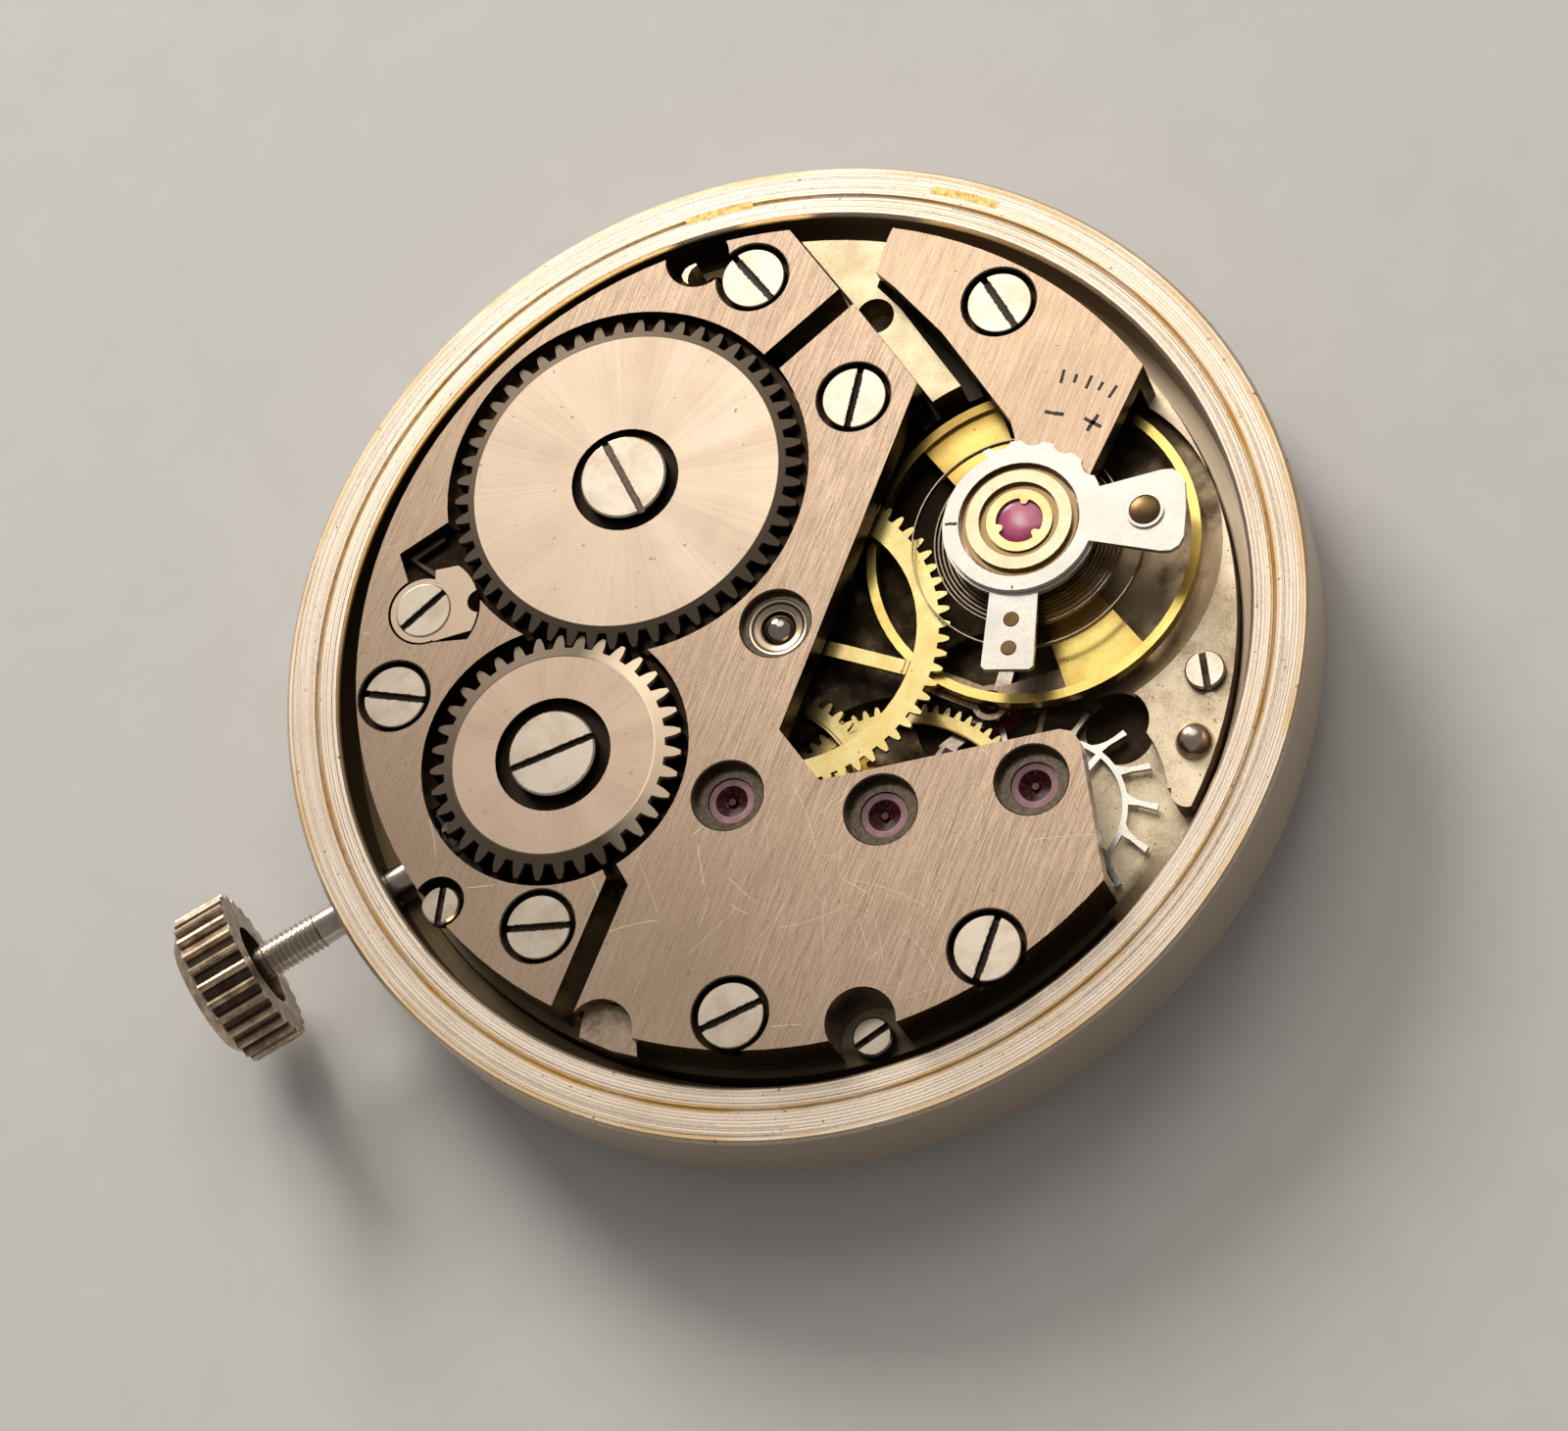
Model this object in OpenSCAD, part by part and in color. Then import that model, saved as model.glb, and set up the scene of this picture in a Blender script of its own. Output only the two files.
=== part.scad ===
// Hand-wound watch movement with small seconds, in its movement ring.
// Origin: centre of the dial seat. +Z runs from the dial to the bridges, and the stem lies along -X.

/* [Plate and bridges] */
// How far the flange that seats the main plate in the ring stands out
flange_w = 0.35; // [0.25:0.01:0.45]
// Thickness of that flange
flange_t = 0.50; // [0.40:0.01:0.60]
// Room round the balance, at the edge of the plate too
balance_room = 0.49; // [0.46:0.01:0.56]
// Thickness of the main plate
plate_t = 1.55; // [1.50:0.01:1.57]
// How far the bridges stand back from the edge of the plate
bridge_step = 0.25; // [0.10:0.01:0.40]
// Height of the bridge tops above the dial seat
bridge_top = 3.36; // [3.30:0.01:3.40]
// Height of the raised strip of the plate beside the cock
land_top = 2.60; // [2.20:0.01:2.80]
// Width of the slits between the bridges
slit_w = 0.68; // [0.50:0.01:0.80]

/* [Axes in plan] */
// Barrel and ratchet wheel, X
barrel_x = -1.69; // [-1.80:0.01:-1.60]
// Barrel and ratchet wheel, Y
barrel_y = 6.37; // [6.25:0.01:6.45]
// Crown wheel, X, on the stem line
crown_wheel_x = -7.09; // [-7.14:0.01:-7.04]
// Third wheel, X
third_x = -3.42; // [-3.50:0.01:-3.35]
// Third wheel, Y
third_y = -3.80; // [-3.90:0.01:-3.70]
// Fourth wheel and small seconds, Y
fourth_y = -6.48; // [-6.55:0.01:-6.42]
// Escape wheel, X
escape_x = 3.88; // [3.82:0.01:3.94]
// Escape wheel, Y
escape_y = -7.97; // [-8.05:0.01:-7.90]
// Balance, X
balance_x = 7.15; // [7.10:0.01:7.20]
// Balance, Y
balance_y = -1.27; // [-1.32:0.01:-1.22]
// Direction of the pallet arbor from the escape wheel, degrees
pallet_dir = 88.4; // [86:0.1:91]
// Distance of the minute wheel from the centre
minute_d = 2.90; // [2.80:0.01:3.00]

/* [Tooth counts] */
// Barrel
barrel_n = 72; // [70:1:76]
// Centre pinion
centre_pinion_n = 12; // [11:1:12]
// Centre wheel
centre_n = 64; // [60:1:68]
// Third pinion
third_pinion_n = 8; // [8:1:9]
// Third wheel
third_n = 60; // [56:1:62]
// Fourth pinion
fourth_pinion_n = 8; // [8:1:9]
// Fourth wheel
fourth_n = 70; // [66:1:72]
// Escape pinion
escape_pinion_n = 7; // [7:1:8]
// Escape wheel
escape_n = 15; // [14:1:16]
// Ratchet wheel
ratchet_n = 50; // [48:1:52]
// Crown wheel
crown_wheel_n = 35; // [34:1:36]
// Winding pinion
winding_pinion_n = 13; // [12:1:13]
// Cannon pinion
cannon_n = 12; // [11:1:13]
// Minute wheel
minute_n = 36; // [34:1:38]
// Minute pinion
minute_pinion_n = 10; // [9:1:11]
// Hour wheel
hour_n = 40; // [38:1:42]
// Setting wheel
setting_n = 32; // [31:1:33]

/* [Levels] */
// Floor of the barrel recess in the plate
barrel_floor = 0.60; // [0.56:0.01:0.62]
// Height of the barrel drum
barrel_h = 1.30; // [1.20:0.01:1.32]
// Thickness of the barrel's toothed rim
barrel_rim_t = 0.35; // [0.30:0.01:0.38]
// Underside of the centre wheel
centre_z = 2.22; // [2.20:0.01:2.24]
// Underside of the third wheel
third_z = 1.62; // [1.60:0.01:1.66]
// Underside of the fourth wheel
fourth_z = 1.20; // [1.17:0.01:1.22]
// Underside of the escape wheel
escape_z = 0.88; // [0.86:0.01:0.90]
// Thickness of the train wheels
wheel_t = 0.14; // [0.10:0.01:0.15]
// Floor of the balance recess in the plate
balance_floor = 1.25; // [1.20:0.01:1.28]
// Underside of the balance rim
balance_z = 1.70; // [1.68:0.01:1.74]
// Underside of the hairspring
hairspring_z = 2.48; // [2.44:0.01:2.52]
// Underside of the cock over the balance
cock_under = 2.80; // [2.76:0.01:2.84]
// Underside of the train bridge over the wheels
train_under = 2.56; // [2.54:0.01:2.60]
// Floor under the ratchet wheel
ratchet_floor = 2.90; // [2.86:0.01:2.94]
// Floor under the crown wheel
crown_wheel_floor = 2.63; // [2.61:0.01:2.66]
// Height of the stem axis
stem_z = 1.42; // [1.41:0.01:1.44]

/* [Balance and hairspring] */
// Outer radius of the balance rim
balance_r = 4.70; // [4.60:0.01:4.76]
// Radial width of the rim
balance_rim_w = 0.27; // [0.20:0.01:0.40]
// Height of the rim
balance_h = 0.38; // [0.30:0.01:0.42]
// Direction of the balance arms, degrees
balance_arm_dir = 90; // [84:1:100]
// Width of an arm at the hub
arm_hub_w = 0.90; // [0.80:0.05:1.40]
// Width of an arm at the rim
arm_rim_w = 2.50; // [1.60:0.05:2.70]
// Full turns of the hairspring inside its last coil
hairspring_turns = 12; // [8:1:12]
// Thickness of the hairspring ribbon
hairspring_t = 0.045; // [0.03:0.005:0.05]
// Height of the hairspring ribbon
hairspring_h = 0.18; // [0.12:0.01:0.20]
// Radius of the first coil, at the collet
hairspring_in = 0.62; // [0.58:0.01:0.70]
// Radius of the last free coil
hairspring_free = 2.66; // [2.40:0.01:2.70]
// Radius of the end coil between the curb pins
hairspring_end = 3.28; // [3.24:0.01:3.32]

/* [Regulator and stud] */
// Direction of the stud arm, degrees
stud_dir = -30; // [-40:1:-22]
// Distance of the stud from the balance axis
stud_reach = 3.49; // [3.44:0.01:3.54]
// Radius of the stud's head
stud_r = 0.42; // [0.38:0.01:0.44]
// Direction of the curb-pin arm, degrees
curb_dir = -123; // [-130:1:-112]
// Distance of the inner curb pin
curb_in = 2.86; // [2.82:0.01:2.90]
// Distance of the outer curb pin
curb_out = 3.70; // [3.66:0.01:3.74]
// Radius of a curb pin
curb_pin_r = 0.20; // [0.12:0.01:0.22]
// Outer radius of the collars
collar_r = 2.10; // [2.00:0.01:2.20]
// Thickness of each collar
collar_t = 0.19; // [0.15:0.01:0.19]
// Radius of the shock block's head
shock_r = 1.60; // [1.50:0.01:1.64]
// Height of the shock block's head above the cock
shock_h = 0.42; // [0.40:0.01:0.50]

/* [Winding and setting] */
// Radius of the winding stem
stem_r = 0.48; // [0.44:0.01:0.50]
// Inner face of the crown
crown_x = -17.25; // [-17.60:0.05:-16.80]
// Length of the crown's fluted band
crown_l = 1.50; // [1.20:0.05:1.80]
// Radius of the crown
crown_r = 2.27; // [2.00:0.01:2.50]
// Flutes on the crown
crown_flutes = 26; // [20:1:32]
// Travel of the crown when it is pulled
stem_pull = 0.60; // [0.50:0.01:0.60]
// Travel of the sliding pinion
clutch_travel = 0.36; // [0.30:0.01:0.36]
// Radius of the sliding pinion
clutch_r = 1.00; // [0.96:0.01:1.02]
// Side of the stem's square
stem_square = 0.62; // [0.58:0.01:0.64]
// Setting-lever screw, X
lever_x = -11.76; // [-11.80:0.01:-11.72]
// Setting-lever screw, Y
lever_y = -2.14; // [-2.20:0.01:-2.10]

/* [Movement ring] */
// Gap between the ring's top and the edge of the plate's flange
ring_gap = 0.20; // [0.10:0.01:0.35]
// Width of the ring's top
ring_wall = 1.60; // [1.20:0.01:2.00]
// Height of the ring's top
ring_top = 2.60; // [2.40:0.01:2.80]
// Gap between the inner lip above the flange and the plate
lip_gap = 0.07; // [0.05:0.01:0.12]
// Height of the lip
lip_h = 0.45; // [0.30:0.01:0.50]
// Distance of the turned groove in the top from its inner edge
ring_groove = 0.66; // [0.40:0.01:0.90]

/* [Screws and jewels] */
// Radius of the bridge screw heads
head_r = 0.84; // [0.78:0.01:0.86]
// Thickness of the bridge screw heads
head_t = 0.48; // [0.40:0.01:0.52]
// Radius of the bridge screw shanks
shank_r = 0.38; // [0.32:0.01:0.40]
// Height of the seats of the bridge screws
head_seat = 2.82; // [2.78:0.01:2.86]
// Radius of the recess round a bridge screw head
head_recess_r = 1.06; // [0.98:0.01:1.10]
// Bevel on the edge of every screw head
head_edge = 0.05; // [0.02:0.01:0.08]
// Radius of the wheel screw heads
wheel_head_r = 1.25; // [1.20:0.01:1.30]
// Thickness of the wheel screw heads
wheel_head_t = 0.42; // [0.35:0.01:0.45]
// Radius of the small screw heads
small_head_r = 0.50; // [0.45:0.01:0.52]
// Width of a screw slot
slot_w = 0.20; // [0.14:0.01:0.24]
// Depth of a screw slot
slot_d = 0.18; // [0.12:0.01:0.20]
// Outer radius of a train jewel
jewel_r = 0.64; // [0.60:0.01:0.66]
// Thickness of a train jewel
jewel_t = 0.30; // [0.26:0.01:0.32]
// Radius of the turned sink over a jewel
sink_r = 1.00; // [0.90:0.01:1.05]
// Radius of the dial-foot bores
dial_foot_r = 0.36; // [0.30:0.01:0.40]

/* [Clearances] */
// Radial clearance of turning pieces
run_gap = 0.03; // [0.02:0.005:0.04]
// Clearance of fixed pieces in their seats
fit_gap = 0.02; // [0.01:0.005:0.03]
// Room round a wheel in its recess
wheel_room = 0.14; // [0.10:0.01:0.16]

/* [Hidden] */
$fn = 48;

nickel = "#b9aea3";
steel = "#c9c5bd";
gilt = "#d9b24a";
ruby = "#b3346f";
dark_steel = "#7d7a76";

// Overlap that joins two solids of one piece, and overshoot of a cut
lap = 0.05;
far = 9;

function polar(r, a) = [r * cos(a), r * sin(a)];
function heading(a, b) = atan2(b[1] - a[1], b[0] - a[0]);
function pitch_share(d, n, mate_n) = d * n / (n + mate_n);
// Angle of a tooth on the mate of a gear whose tooth stands at phase, seen along dir
function mesh_phase(phase, n, mate_n, dir) = dir + 180 - (phase - dir) * n / mate_n + 180 / mate_n;

// Axes
centre = [0, 0];
barrel = [barrel_x, barrel_y];
crown_axis = [crown_wheel_x, 0];
third = [third_x, third_y];
fourth = [0, fourth_y];
escape = [escape_x, escape_y];
balance = [balance_x, balance_y];
lever = [lever_x, lever_y];

// Pitch radii and tooth modules of the meshing pairs
barrel_d = norm(barrel - centre);
barrel_m = 2 * barrel_d / (barrel_n + centre_pinion_n);
barrel_p = pitch_share(barrel_d, barrel_n, centre_pinion_n);
centre_pinion_p = barrel_d - barrel_p;
third_d = norm(third - centre);
centre_m = 2 * third_d / (centre_n + third_pinion_n);
centre_p = pitch_share(third_d, centre_n, third_pinion_n);
third_pinion_p = third_d - centre_p;
fourth_d = norm(fourth - third);
third_m = 2 * fourth_d / (third_n + fourth_pinion_n);
third_p = pitch_share(fourth_d, third_n, fourth_pinion_n);
fourth_pinion_p = fourth_d - third_p;
escape_d = norm(escape - fourth);
fourth_m = 2 * escape_d / (fourth_n + escape_pinion_n);
fourth_p = pitch_share(escape_d, fourth_n, escape_pinion_n);
escape_pinion_p = escape_d - fourth_p;
ratchet_d = norm(barrel - crown_axis);
ratchet_m = 2 * ratchet_d / (ratchet_n + crown_wheel_n);
ratchet_p = pitch_share(ratchet_d, ratchet_n, crown_wheel_n);
crown_wheel_p = ratchet_d - ratchet_p;
winding_pinion_p = crown_wheel_p * winding_pinion_n / crown_wheel_n;
cannon_m = 2 * minute_d / (cannon_n + minute_n);
minute_p = pitch_share(minute_d, minute_n, cannon_n);
cannon_p = minute_d - minute_p;
hour_m = 2 * minute_d / (hour_n + minute_pinion_n);
hour_p = pitch_share(minute_d, hour_n, minute_pinion_n);
minute_pinion_p = minute_d - hour_p;

// Heights of a tooth above and below the pitch circle, in modules
addendum = 0.95;
dedendum = 1.25;

// The setting wheel has setting_n teeth, and more where the minute wheel stands out of their reach
clutch_x0 = -10.16;
clutch_x1 = -8.85;
setting_gap = 0.10;
setting_reach = -(clutch_x1 + clutch_travel + setting_gap + addendum * cannon_m) - minute_d - minute_p;
setting_teeth = max(setting_n, ceil(setting_reach / cannon_m + 0.5));
setting_p = minute_p * setting_teeth / minute_n;
function tip(p, m) = p + addendum * m;
function root(p, m) = p - dedendum * m;
barrel_tip = tip(barrel_p, barrel_m);
centre_tip = tip(centre_p, centre_m);
third_tip = tip(third_p, third_m);
fourth_tip = tip(fourth_p, fourth_m);
ratchet_tip = tip(ratchet_p, ratchet_m);
crown_wheel_tip = tip(crown_wheel_p, ratchet_m);
winding_pinion_tip = winding_pinion_p + 0.62 * ratchet_m;
minute_tip = tip(minute_p, cannon_m);
hour_tip = tip(hour_p, hour_m);
setting_tip = tip(setting_p, cannon_m);
escape_tip = 2.97;
escape_root = 2.14;

// The plate holds the balance and the barrel, and the ring goes round the plate
plate_r = max(norm(balance) + balance_r + balance_room, norm(barrel) + barrel_tip + 0.05);
flange_r = plate_r + flange_w;
bridge_r = plate_r - bridge_step;
lip_r = plate_r + lip_gap;
ring_in = flange_r + ring_gap;
ring_out = ring_in + ring_wall;
ring_groove_r = ring_in + ring_groove;

// Pallet arbor: the stones stand half a tooth span either side of its line to the escape wheel
pallet_half = 30;
pallet_d = escape_tip / cos(pallet_half);
pallet = escape + polar(pallet_d, pallet_dir);
fork_dir = heading(pallet, balance);
impulse_reach = 1.00;
impulse_r = 0.12;
roller_r = 1.20;
fork_l = norm(balance - pallet) - impulse_reach - impulse_r - 0.15;
stone_in = escape_tip + 0.15;
stone_out = stone_in + 0.45;
holder_end = stone_out + 0.14;
holder_half = 0.26;
// Reach of the fork's stone holders from the pallet arbor
holder_reach = norm(polar(holder_end, pallet_half) + polar(holder_half, pallet_half + 90) - [pallet_d, 0]);

// Tooth phases at rest, so that every pair is in mesh
crown_wheel_phase = 180 + 180 / crown_wheel_n;
ratchet_phase = mesh_phase(crown_wheel_phase, crown_wheel_n, ratchet_n, heading(crown_axis, barrel));
barrel_phase = mesh_phase(0, centre_pinion_n, barrel_n, heading(centre, barrel));
third_pinion_phase = mesh_phase(0, centre_n, third_pinion_n, heading(centre, third));
fourth_pinion_phase = mesh_phase(0, third_n, fourth_pinion_n, heading(third, fourth));
escape_pinion_phase = mesh_phase(0, fourth_n, escape_pinion_n, heading(fourth, escape));

// Setting works on the dial side: the setting wheel meets the minute wheel,
// and ends short of the sliding pinion
setting_x = clutch_x1 + clutch_travel + setting_gap + setting_tip;
setting = [setting_x, 0];
setting_d = setting_p + minute_p;
minute_x = (minute_d * minute_d - setting_d * setting_d + setting_x * setting_x) / (2 * setting_x);
minute = [minute_x, -sqrt(minute_d * minute_d - minute_x * minute_x)];
minute_phase = mesh_phase(0, cannon_n, minute_n, heading(centre, minute));
hour_phase = mesh_phase(0, minute_pinion_n, hour_n, heading(minute, centre));
setting_phase = mesh_phase(minute_phase, minute_n, setting_teeth, heading(minute, setting));

// Derived levels
barrel_z = barrel_floor + 0.08;
barrel_top = barrel_z + barrel_h;
barrel_room_r = barrel_tip + wheel_room;
drum_r = barrel_tip - 0.50;
drum_wall = 0.25;
drum_base = 0.20;
centre_ceiling = centre_z + wheel_t + 0.10;
escape_floor = escape_z - 0.13;
ratchet_z = ratchet_floor + run_gap;
crown_wheel_z = crown_wheel_floor + run_gap;
wheel_top = bridge_top + 0.02;
wheel_head_seat = wheel_top - 0.22;
crown_ledge = wheel_top - 0.32;
pallet_bridge_z = fourth_z + wheel_t + 0.08;
pallet_bridge_t = 0.18;
well_floor = 0.30;
jewel_seat = train_under + 0.04;
shock_top = bridge_top + shock_h;
regulator_z = bridge_top + fit_gap;
stud_carrier_z = regulator_z + collar_t + fit_gap;
hairspring_top = hairspring_z + hairspring_h;

// Recess radii round the winding wheels, and the sunray faces inside their bevelled teeth
ratchet_recess_r = ratchet_tip + 0.18;
crown_recess_r = crown_wheel_tip + 0.21;
ratchet_face_r = ratchet_tip - 0.62;
crown_face_r = crown_wheel_tip - 0.68;
bevel_h = 0.20;
recess_gap = 0.06;

// Radii of arbors and pivots
arbor_low_r = 0.55;
arbor_up_r = 0.75;
arbor_square = 1.05;
centre_arbor_r = 0.30;
train_arbor_r = 0.20;
fourth_arbor_r = 0.30;
pivot_r = 0.10;
jewel_hole_r = pivot_r + run_gap;
staff_r = 0.25;
staff_pivot_r = 0.08;

// Screws: x, y and slot direction in degrees
barrel_bridge_screws = [[4.27, 9.99, -80], [-10.27, 4.16, -39], [-9.63, -4.30, -28]];
train_bridge_screws = [[5.00, 4.92, 50], [-6.14, -9.43, -5], [0.65, -11.49, 43]];
cock_screw = [9.82, 5.17, 92];
click_screw = [-8.44, 6.06, 12];
casing_screw_at = [-3.20, -11.50];
casing_hole_at = [3.20, 11.50];
casing_hole_r = 0.30;
plate_screw_at = [9.39, -7.02];
plate_pin_at = [8.15, -8.60];
pallet_feet = [[2.68, -2.75], [7.30, -5.45]];
dial_foot_at = 11.75;
dial_foot_dirs = [40, 220];
dial_foot_depth = 1.20;
screw_depth = 0.50;
small_shank_r = 0.22;
lever_shank_r = 0.30;
lever_head_r = 0.55;
plate_pocket = [6.60, -6.90];
plate_pocket_r = 0.95;

// Click: lies below the sunray faces, on a floor of its own
click_floor = 2.77;
click_z = click_floor + run_gap;
click_t = 0.54;
click_head_r = 0.98;
click_screw_r = 0.75;
click_well = 0.29;
click_swing = 10;
click_room_gap = 0.07;
click_seat = click_z + click_t - click_well + run_gap;
click_reach = norm(barrel - [click_screw[0], click_screw[1]]) - ratchet_tip - 0.04;

// Keyless works layer on the dial side
keyless_ceiling = 0.36;
keyless_z = 0.06;
keyless_t = 0.26;
keyless_rim = flange_r - 0.15;
lever_pin_x = lever_x + 0.31;
lever_pin_r = 0.16;
groove_x0 = lever_pin_x - 0.30;
groove_x1 = lever_pin_x + 0.30;
groove_r = 0.24;
yoke_pivot = [-9.55, 3.20];
yoke_finger_w = 0.26;
clutch_groove_r = 0.68;
clutch_groove_w = 0.40;
yoke_post_r = 0.28;
motion_ceiling = 0.46;
hour_z = 0.04;
hour_t = 0.15;
hour_ceiling = hour_z + hour_t + 0.03;
minute_z = hour_ceiling;
motion_t = 0.20;
setting_z = 0.20;
setting_t = 0.26;
minute_post_r = 0.22;
setting_post_r = 0.35;

// Winding line along X
pinion_x0 = -10.86;
pinion_x1 = -10.42;
pinion_hub_x0 = -10.98;
pinion_hub_x1 = -10.20;
pinion_hub_r = 0.92;
dog_n = 8;
dog_h = 0.12;
shoulder_x = -10.28;
square_x = -8.65;
pilot_x = -7.60;
pilot_r = 0.25;
pilot_end = -7.50;

// Outlines in plan
slit_low = [[-10.32, -6.60], [-7.37, -4.09]];
slit_high = [[3.56, 7.61], [6.19, 8.18]];
function along(a, b, k) = a + (b - a) * k;
function beside(a, b, w) = w * [b[1] - a[1], a[0] - b[0]] / norm(b - a);
low_shift = -beside(slit_low[0], slit_low[1], -slit_w);
high_shift = beside(slit_high[0], slit_high[1], slit_w);
barrel_bridge_points = [slit_high[0], slit_high[1], [5.84, 10.81], [6.60, 14], [-2, 18], [-18, 12],
  [-18, -9], along(slit_low[1], slit_low[0], 2.2), slit_low[1], crown_axis, barrel];
train_bridge_points = [slit_high[0] + high_shift, slit_high[1] + high_shift, [6.71, 4.26], [-1.33, -2.87],
  [-1.04, -4.81], [5.20, -7.11], [5.46, -7.36], [5.50, -7.75], [4.14, -11.66], [4.80, -14], [-4, -16],
  along(slit_low[1], slit_low[0], 3.2) + low_shift, slit_low[1] + low_shift, crown_axis, barrel];
cock_points = [[8.14, 8.82], [7.33, 8.04], [7.56, 7.31], [8.03, 5.24], [8.37, 1.71], [8.22, 1.15],
  [7.60, 0.60], [8.60, -2.00], [9.41, -1.00], [12.36, 1.19], [14, 4], [11, 11]];
land_points = [[6.87, 3.60], [7.75, 3.70], [7.40, 7.10], [7.16, 8.05], [7.98, 8.86], [9.40, 10.40],
  [6.80, 12.60], [5.96, 10.85], [6.33, 8.15], [6.42, 7.45]];
click_spring_points = [[-8.15, 7.95], [-7.00, 8.02], [-7.00, 7.88], [-8.00, 7.80], [-7.62, 7.06],
  [-7.75, 7.00]];
spring_pocket_points = [[-8.47, 7.00], [-8.30, 8.05], [-6.70, 8.14], [-5.50, 7.20], [-7.20, 6.40]];
click_beak_points = [[-8.60, 5.05], [-7.06, 4.60], [-6.72, 4.78], [-6.60, 6.60], [-7.60, 7.00]];
click_notch = [-6.92, 5.42];
click_notch_r = 0.35;
keyless_points = [[-13, -3.40], [-13, 1.10], [-10.60, 1.10], [-10.60, 4.30], [-6.90, 5.90], [-6.90, 4.30],
  [-8.50, 2.00], [-8.50, -1.10], [-9.00, -3.00], [-8.00, -4.60], [-8.00, -6.10], [-10.20, -6.10],
  [-11.50, -4.20]];
lever_spring_points = [[-8.30, -5.80], [-9.90, -5.80], [-11.20, -4.10], [-11.20, -3.30], [-10.95, -3.10],
  [-10.75, -3.90], [-9.60, -4.85], [-8.30, -4.85]];
yoke_spring_points = [[-7.20, 5.60], [-7.20, 4.70], [-8.10, 4.50], [-8.78, 2.60], [-8.90, 2.64],
  [-8.30, 5.05]];

// Building blocks

module at(p) {
  translate([p[0], p[1], 0]) children();
}

module disc(r, z0, z1) {
  translate([0, 0, z0]) cylinder(r = r, h = z1 - z0);
}

module tube(r_out, r_in, z0, z1) {
  difference() {
    disc(r_out, z0, z1);
    disc(r_in, z0 - 1, z1 + 1);
  }
}

module slab(z0, z1) {
  translate([0, 0, z0]) linear_extrude(z1 - z0) children();
}

// Extrudes a plan drawn in Y and Z along the stem
module along_stem(x0, x1) {
  translate([x0, 0, stem_z]) rotate([90, 0, 90]) linear_extrude(x1 - x0) children();
}

module stem_rod(r, x0, x1) {
  translate([x0, 0, stem_z]) rotate([0, 90, 0]) cylinder(r = r, h = x1 - x0);
}

// One tooth spans these shares of the pitch, either side of its middle
root_share = 0.30;
pitch_half = 0.21;
tip_share = 0.09;

function tooth_points(a, step, r_root, r_pitch, r_tip) = [
  polar(r_root, a - step * root_share),
  polar(r_pitch, a - step * pitch_half),
  polar(r_tip, a - step * tip_share),
  polar(r_tip, a + step * tip_share),
  polar(r_pitch, a + step * pitch_half),
  polar(r_root, a + step * root_share)];

function gear_points(n, r_root, r_pitch, r_tip, phase) =
  [for (i = [0:n - 1]) each tooth_points(phase + 360 * i / n, 360 / n, r_root, r_pitch, r_tip)];

module gear_plan(n, p, m, phase) {
  polygon(gear_points(n, root(p, m), p, tip(p, m), phase));
}

module gear(n, p, m, phase, z, t) {
  slab(z, z + t) gear_plan(n, p, m, phase);
}

// The windows between hub, arms and rim of a spoked wheel
module spoke_windows(rim_in, hub_r, count, w, dir, z, t) {
  difference() {
    disc(rim_in, z - 1, z + t + 1);
    disc(hub_r, z - 2, z + t + 2);
    for (i = [0:count - 1])
      rotate(dir + i * 360 / count)
        translate([0, -w / 2, z - 2])
          cube([rim_in + 1, w, t + 4]);
  }
}

module spoked_wheel(n, p, m, z, rim_w, hub_r, bore, count, w, dir) {
  difference() {
    gear(n, p, m, 0, z, wheel_t);
    spoke_windows(root(p, m) - rim_w, hub_r, count, w, dir, z, wheel_t);
    disc(bore, z - 1, z + wheel_t + 1);
  }
}

module slot_cut(r, z, dir) {
  rotate(dir) translate([-2 * r, -slot_w / 2, z - slot_d]) cube([4 * r, slot_w, slot_d + 1]);
}

module screw(r, t, shank, seat, end, dir) {
  difference() {
    union() {
      disc(r, seat, seat + t - head_edge);
      translate([0, 0, seat + t - head_edge]) cylinder(r1 = r, r2 = r - head_edge, h = head_edge);
      disc(shank, end, seat + lap);
    }
    slot_cut(r, seat + t, dir);
  }
}

// A jewel ring with its oil sink on the upper side
// Share of a jewel's radius taken by its oil cup
jewel_cup = 0.74;

module jewel(r, hole, z, t) {
  difference() {
    disc(r, z, z + t);
    disc(hole, z - 1, z + t + 1);
    translate([0, 0, z + t - 0.14]) cylinder(r1 = hole, r2 = jewel_cup * r, h = 0.14);
    disc(jewel_cup * r, z + t, z + t + 1);
  }
}

// An arbor with a pivot at each end
module arbor(r, pivot, z0, z1, low_end, high_end) {
  disc(r, z0, z1);
  disc(pivot, low_end, z0 + lap);
  disc(pivot, z1 - lap, high_end);
}

// Wheels' rooms under the bridges
module train_rooms(ceiling) {
  disc(centre_tip + wheel_room, -1, ceiling);
  at(third) disc(third_tip + wheel_room, -1, ceiling);
  at(fourth) disc(fourth_tip + wheel_room, -1, ceiling);
  at(escape) disc(escape_tip + wheel_room, -1, ceiling);
  at(barrel) disc(barrel_room_r, -1, ceiling);
  at(balance) disc(balance_r + balance_room + 0.01, -1, ceiling);
}

// Room of the stem, the winding pinion and the sliding pinion
module winding_rooms() {
  stem_rod(stem_r + run_gap, -far - 5, pinion_hub_x0);
  stem_rod(winding_pinion_tip + 0.07, pinion_hub_x0 - run_gap, clutch_x0 - dog_h);
  stem_rod(clutch_r + 0.07, clutch_x0 - dog_h - lap, clutch_x1 + clutch_travel + run_gap);
  stem_rod(pilot_r + run_gap, clutch_x1, pilot_end);
}

// Cone that breaks the upper edge of a round recess in a bridge
module broken_edge(r) {
  translate([0, 0, bridge_top - recess_edge])
    cylinder(h = 2 * recess_edge, r1 = r, r2 = r + 2 * recess_edge);
}

recess_edge = 0.04;

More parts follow.
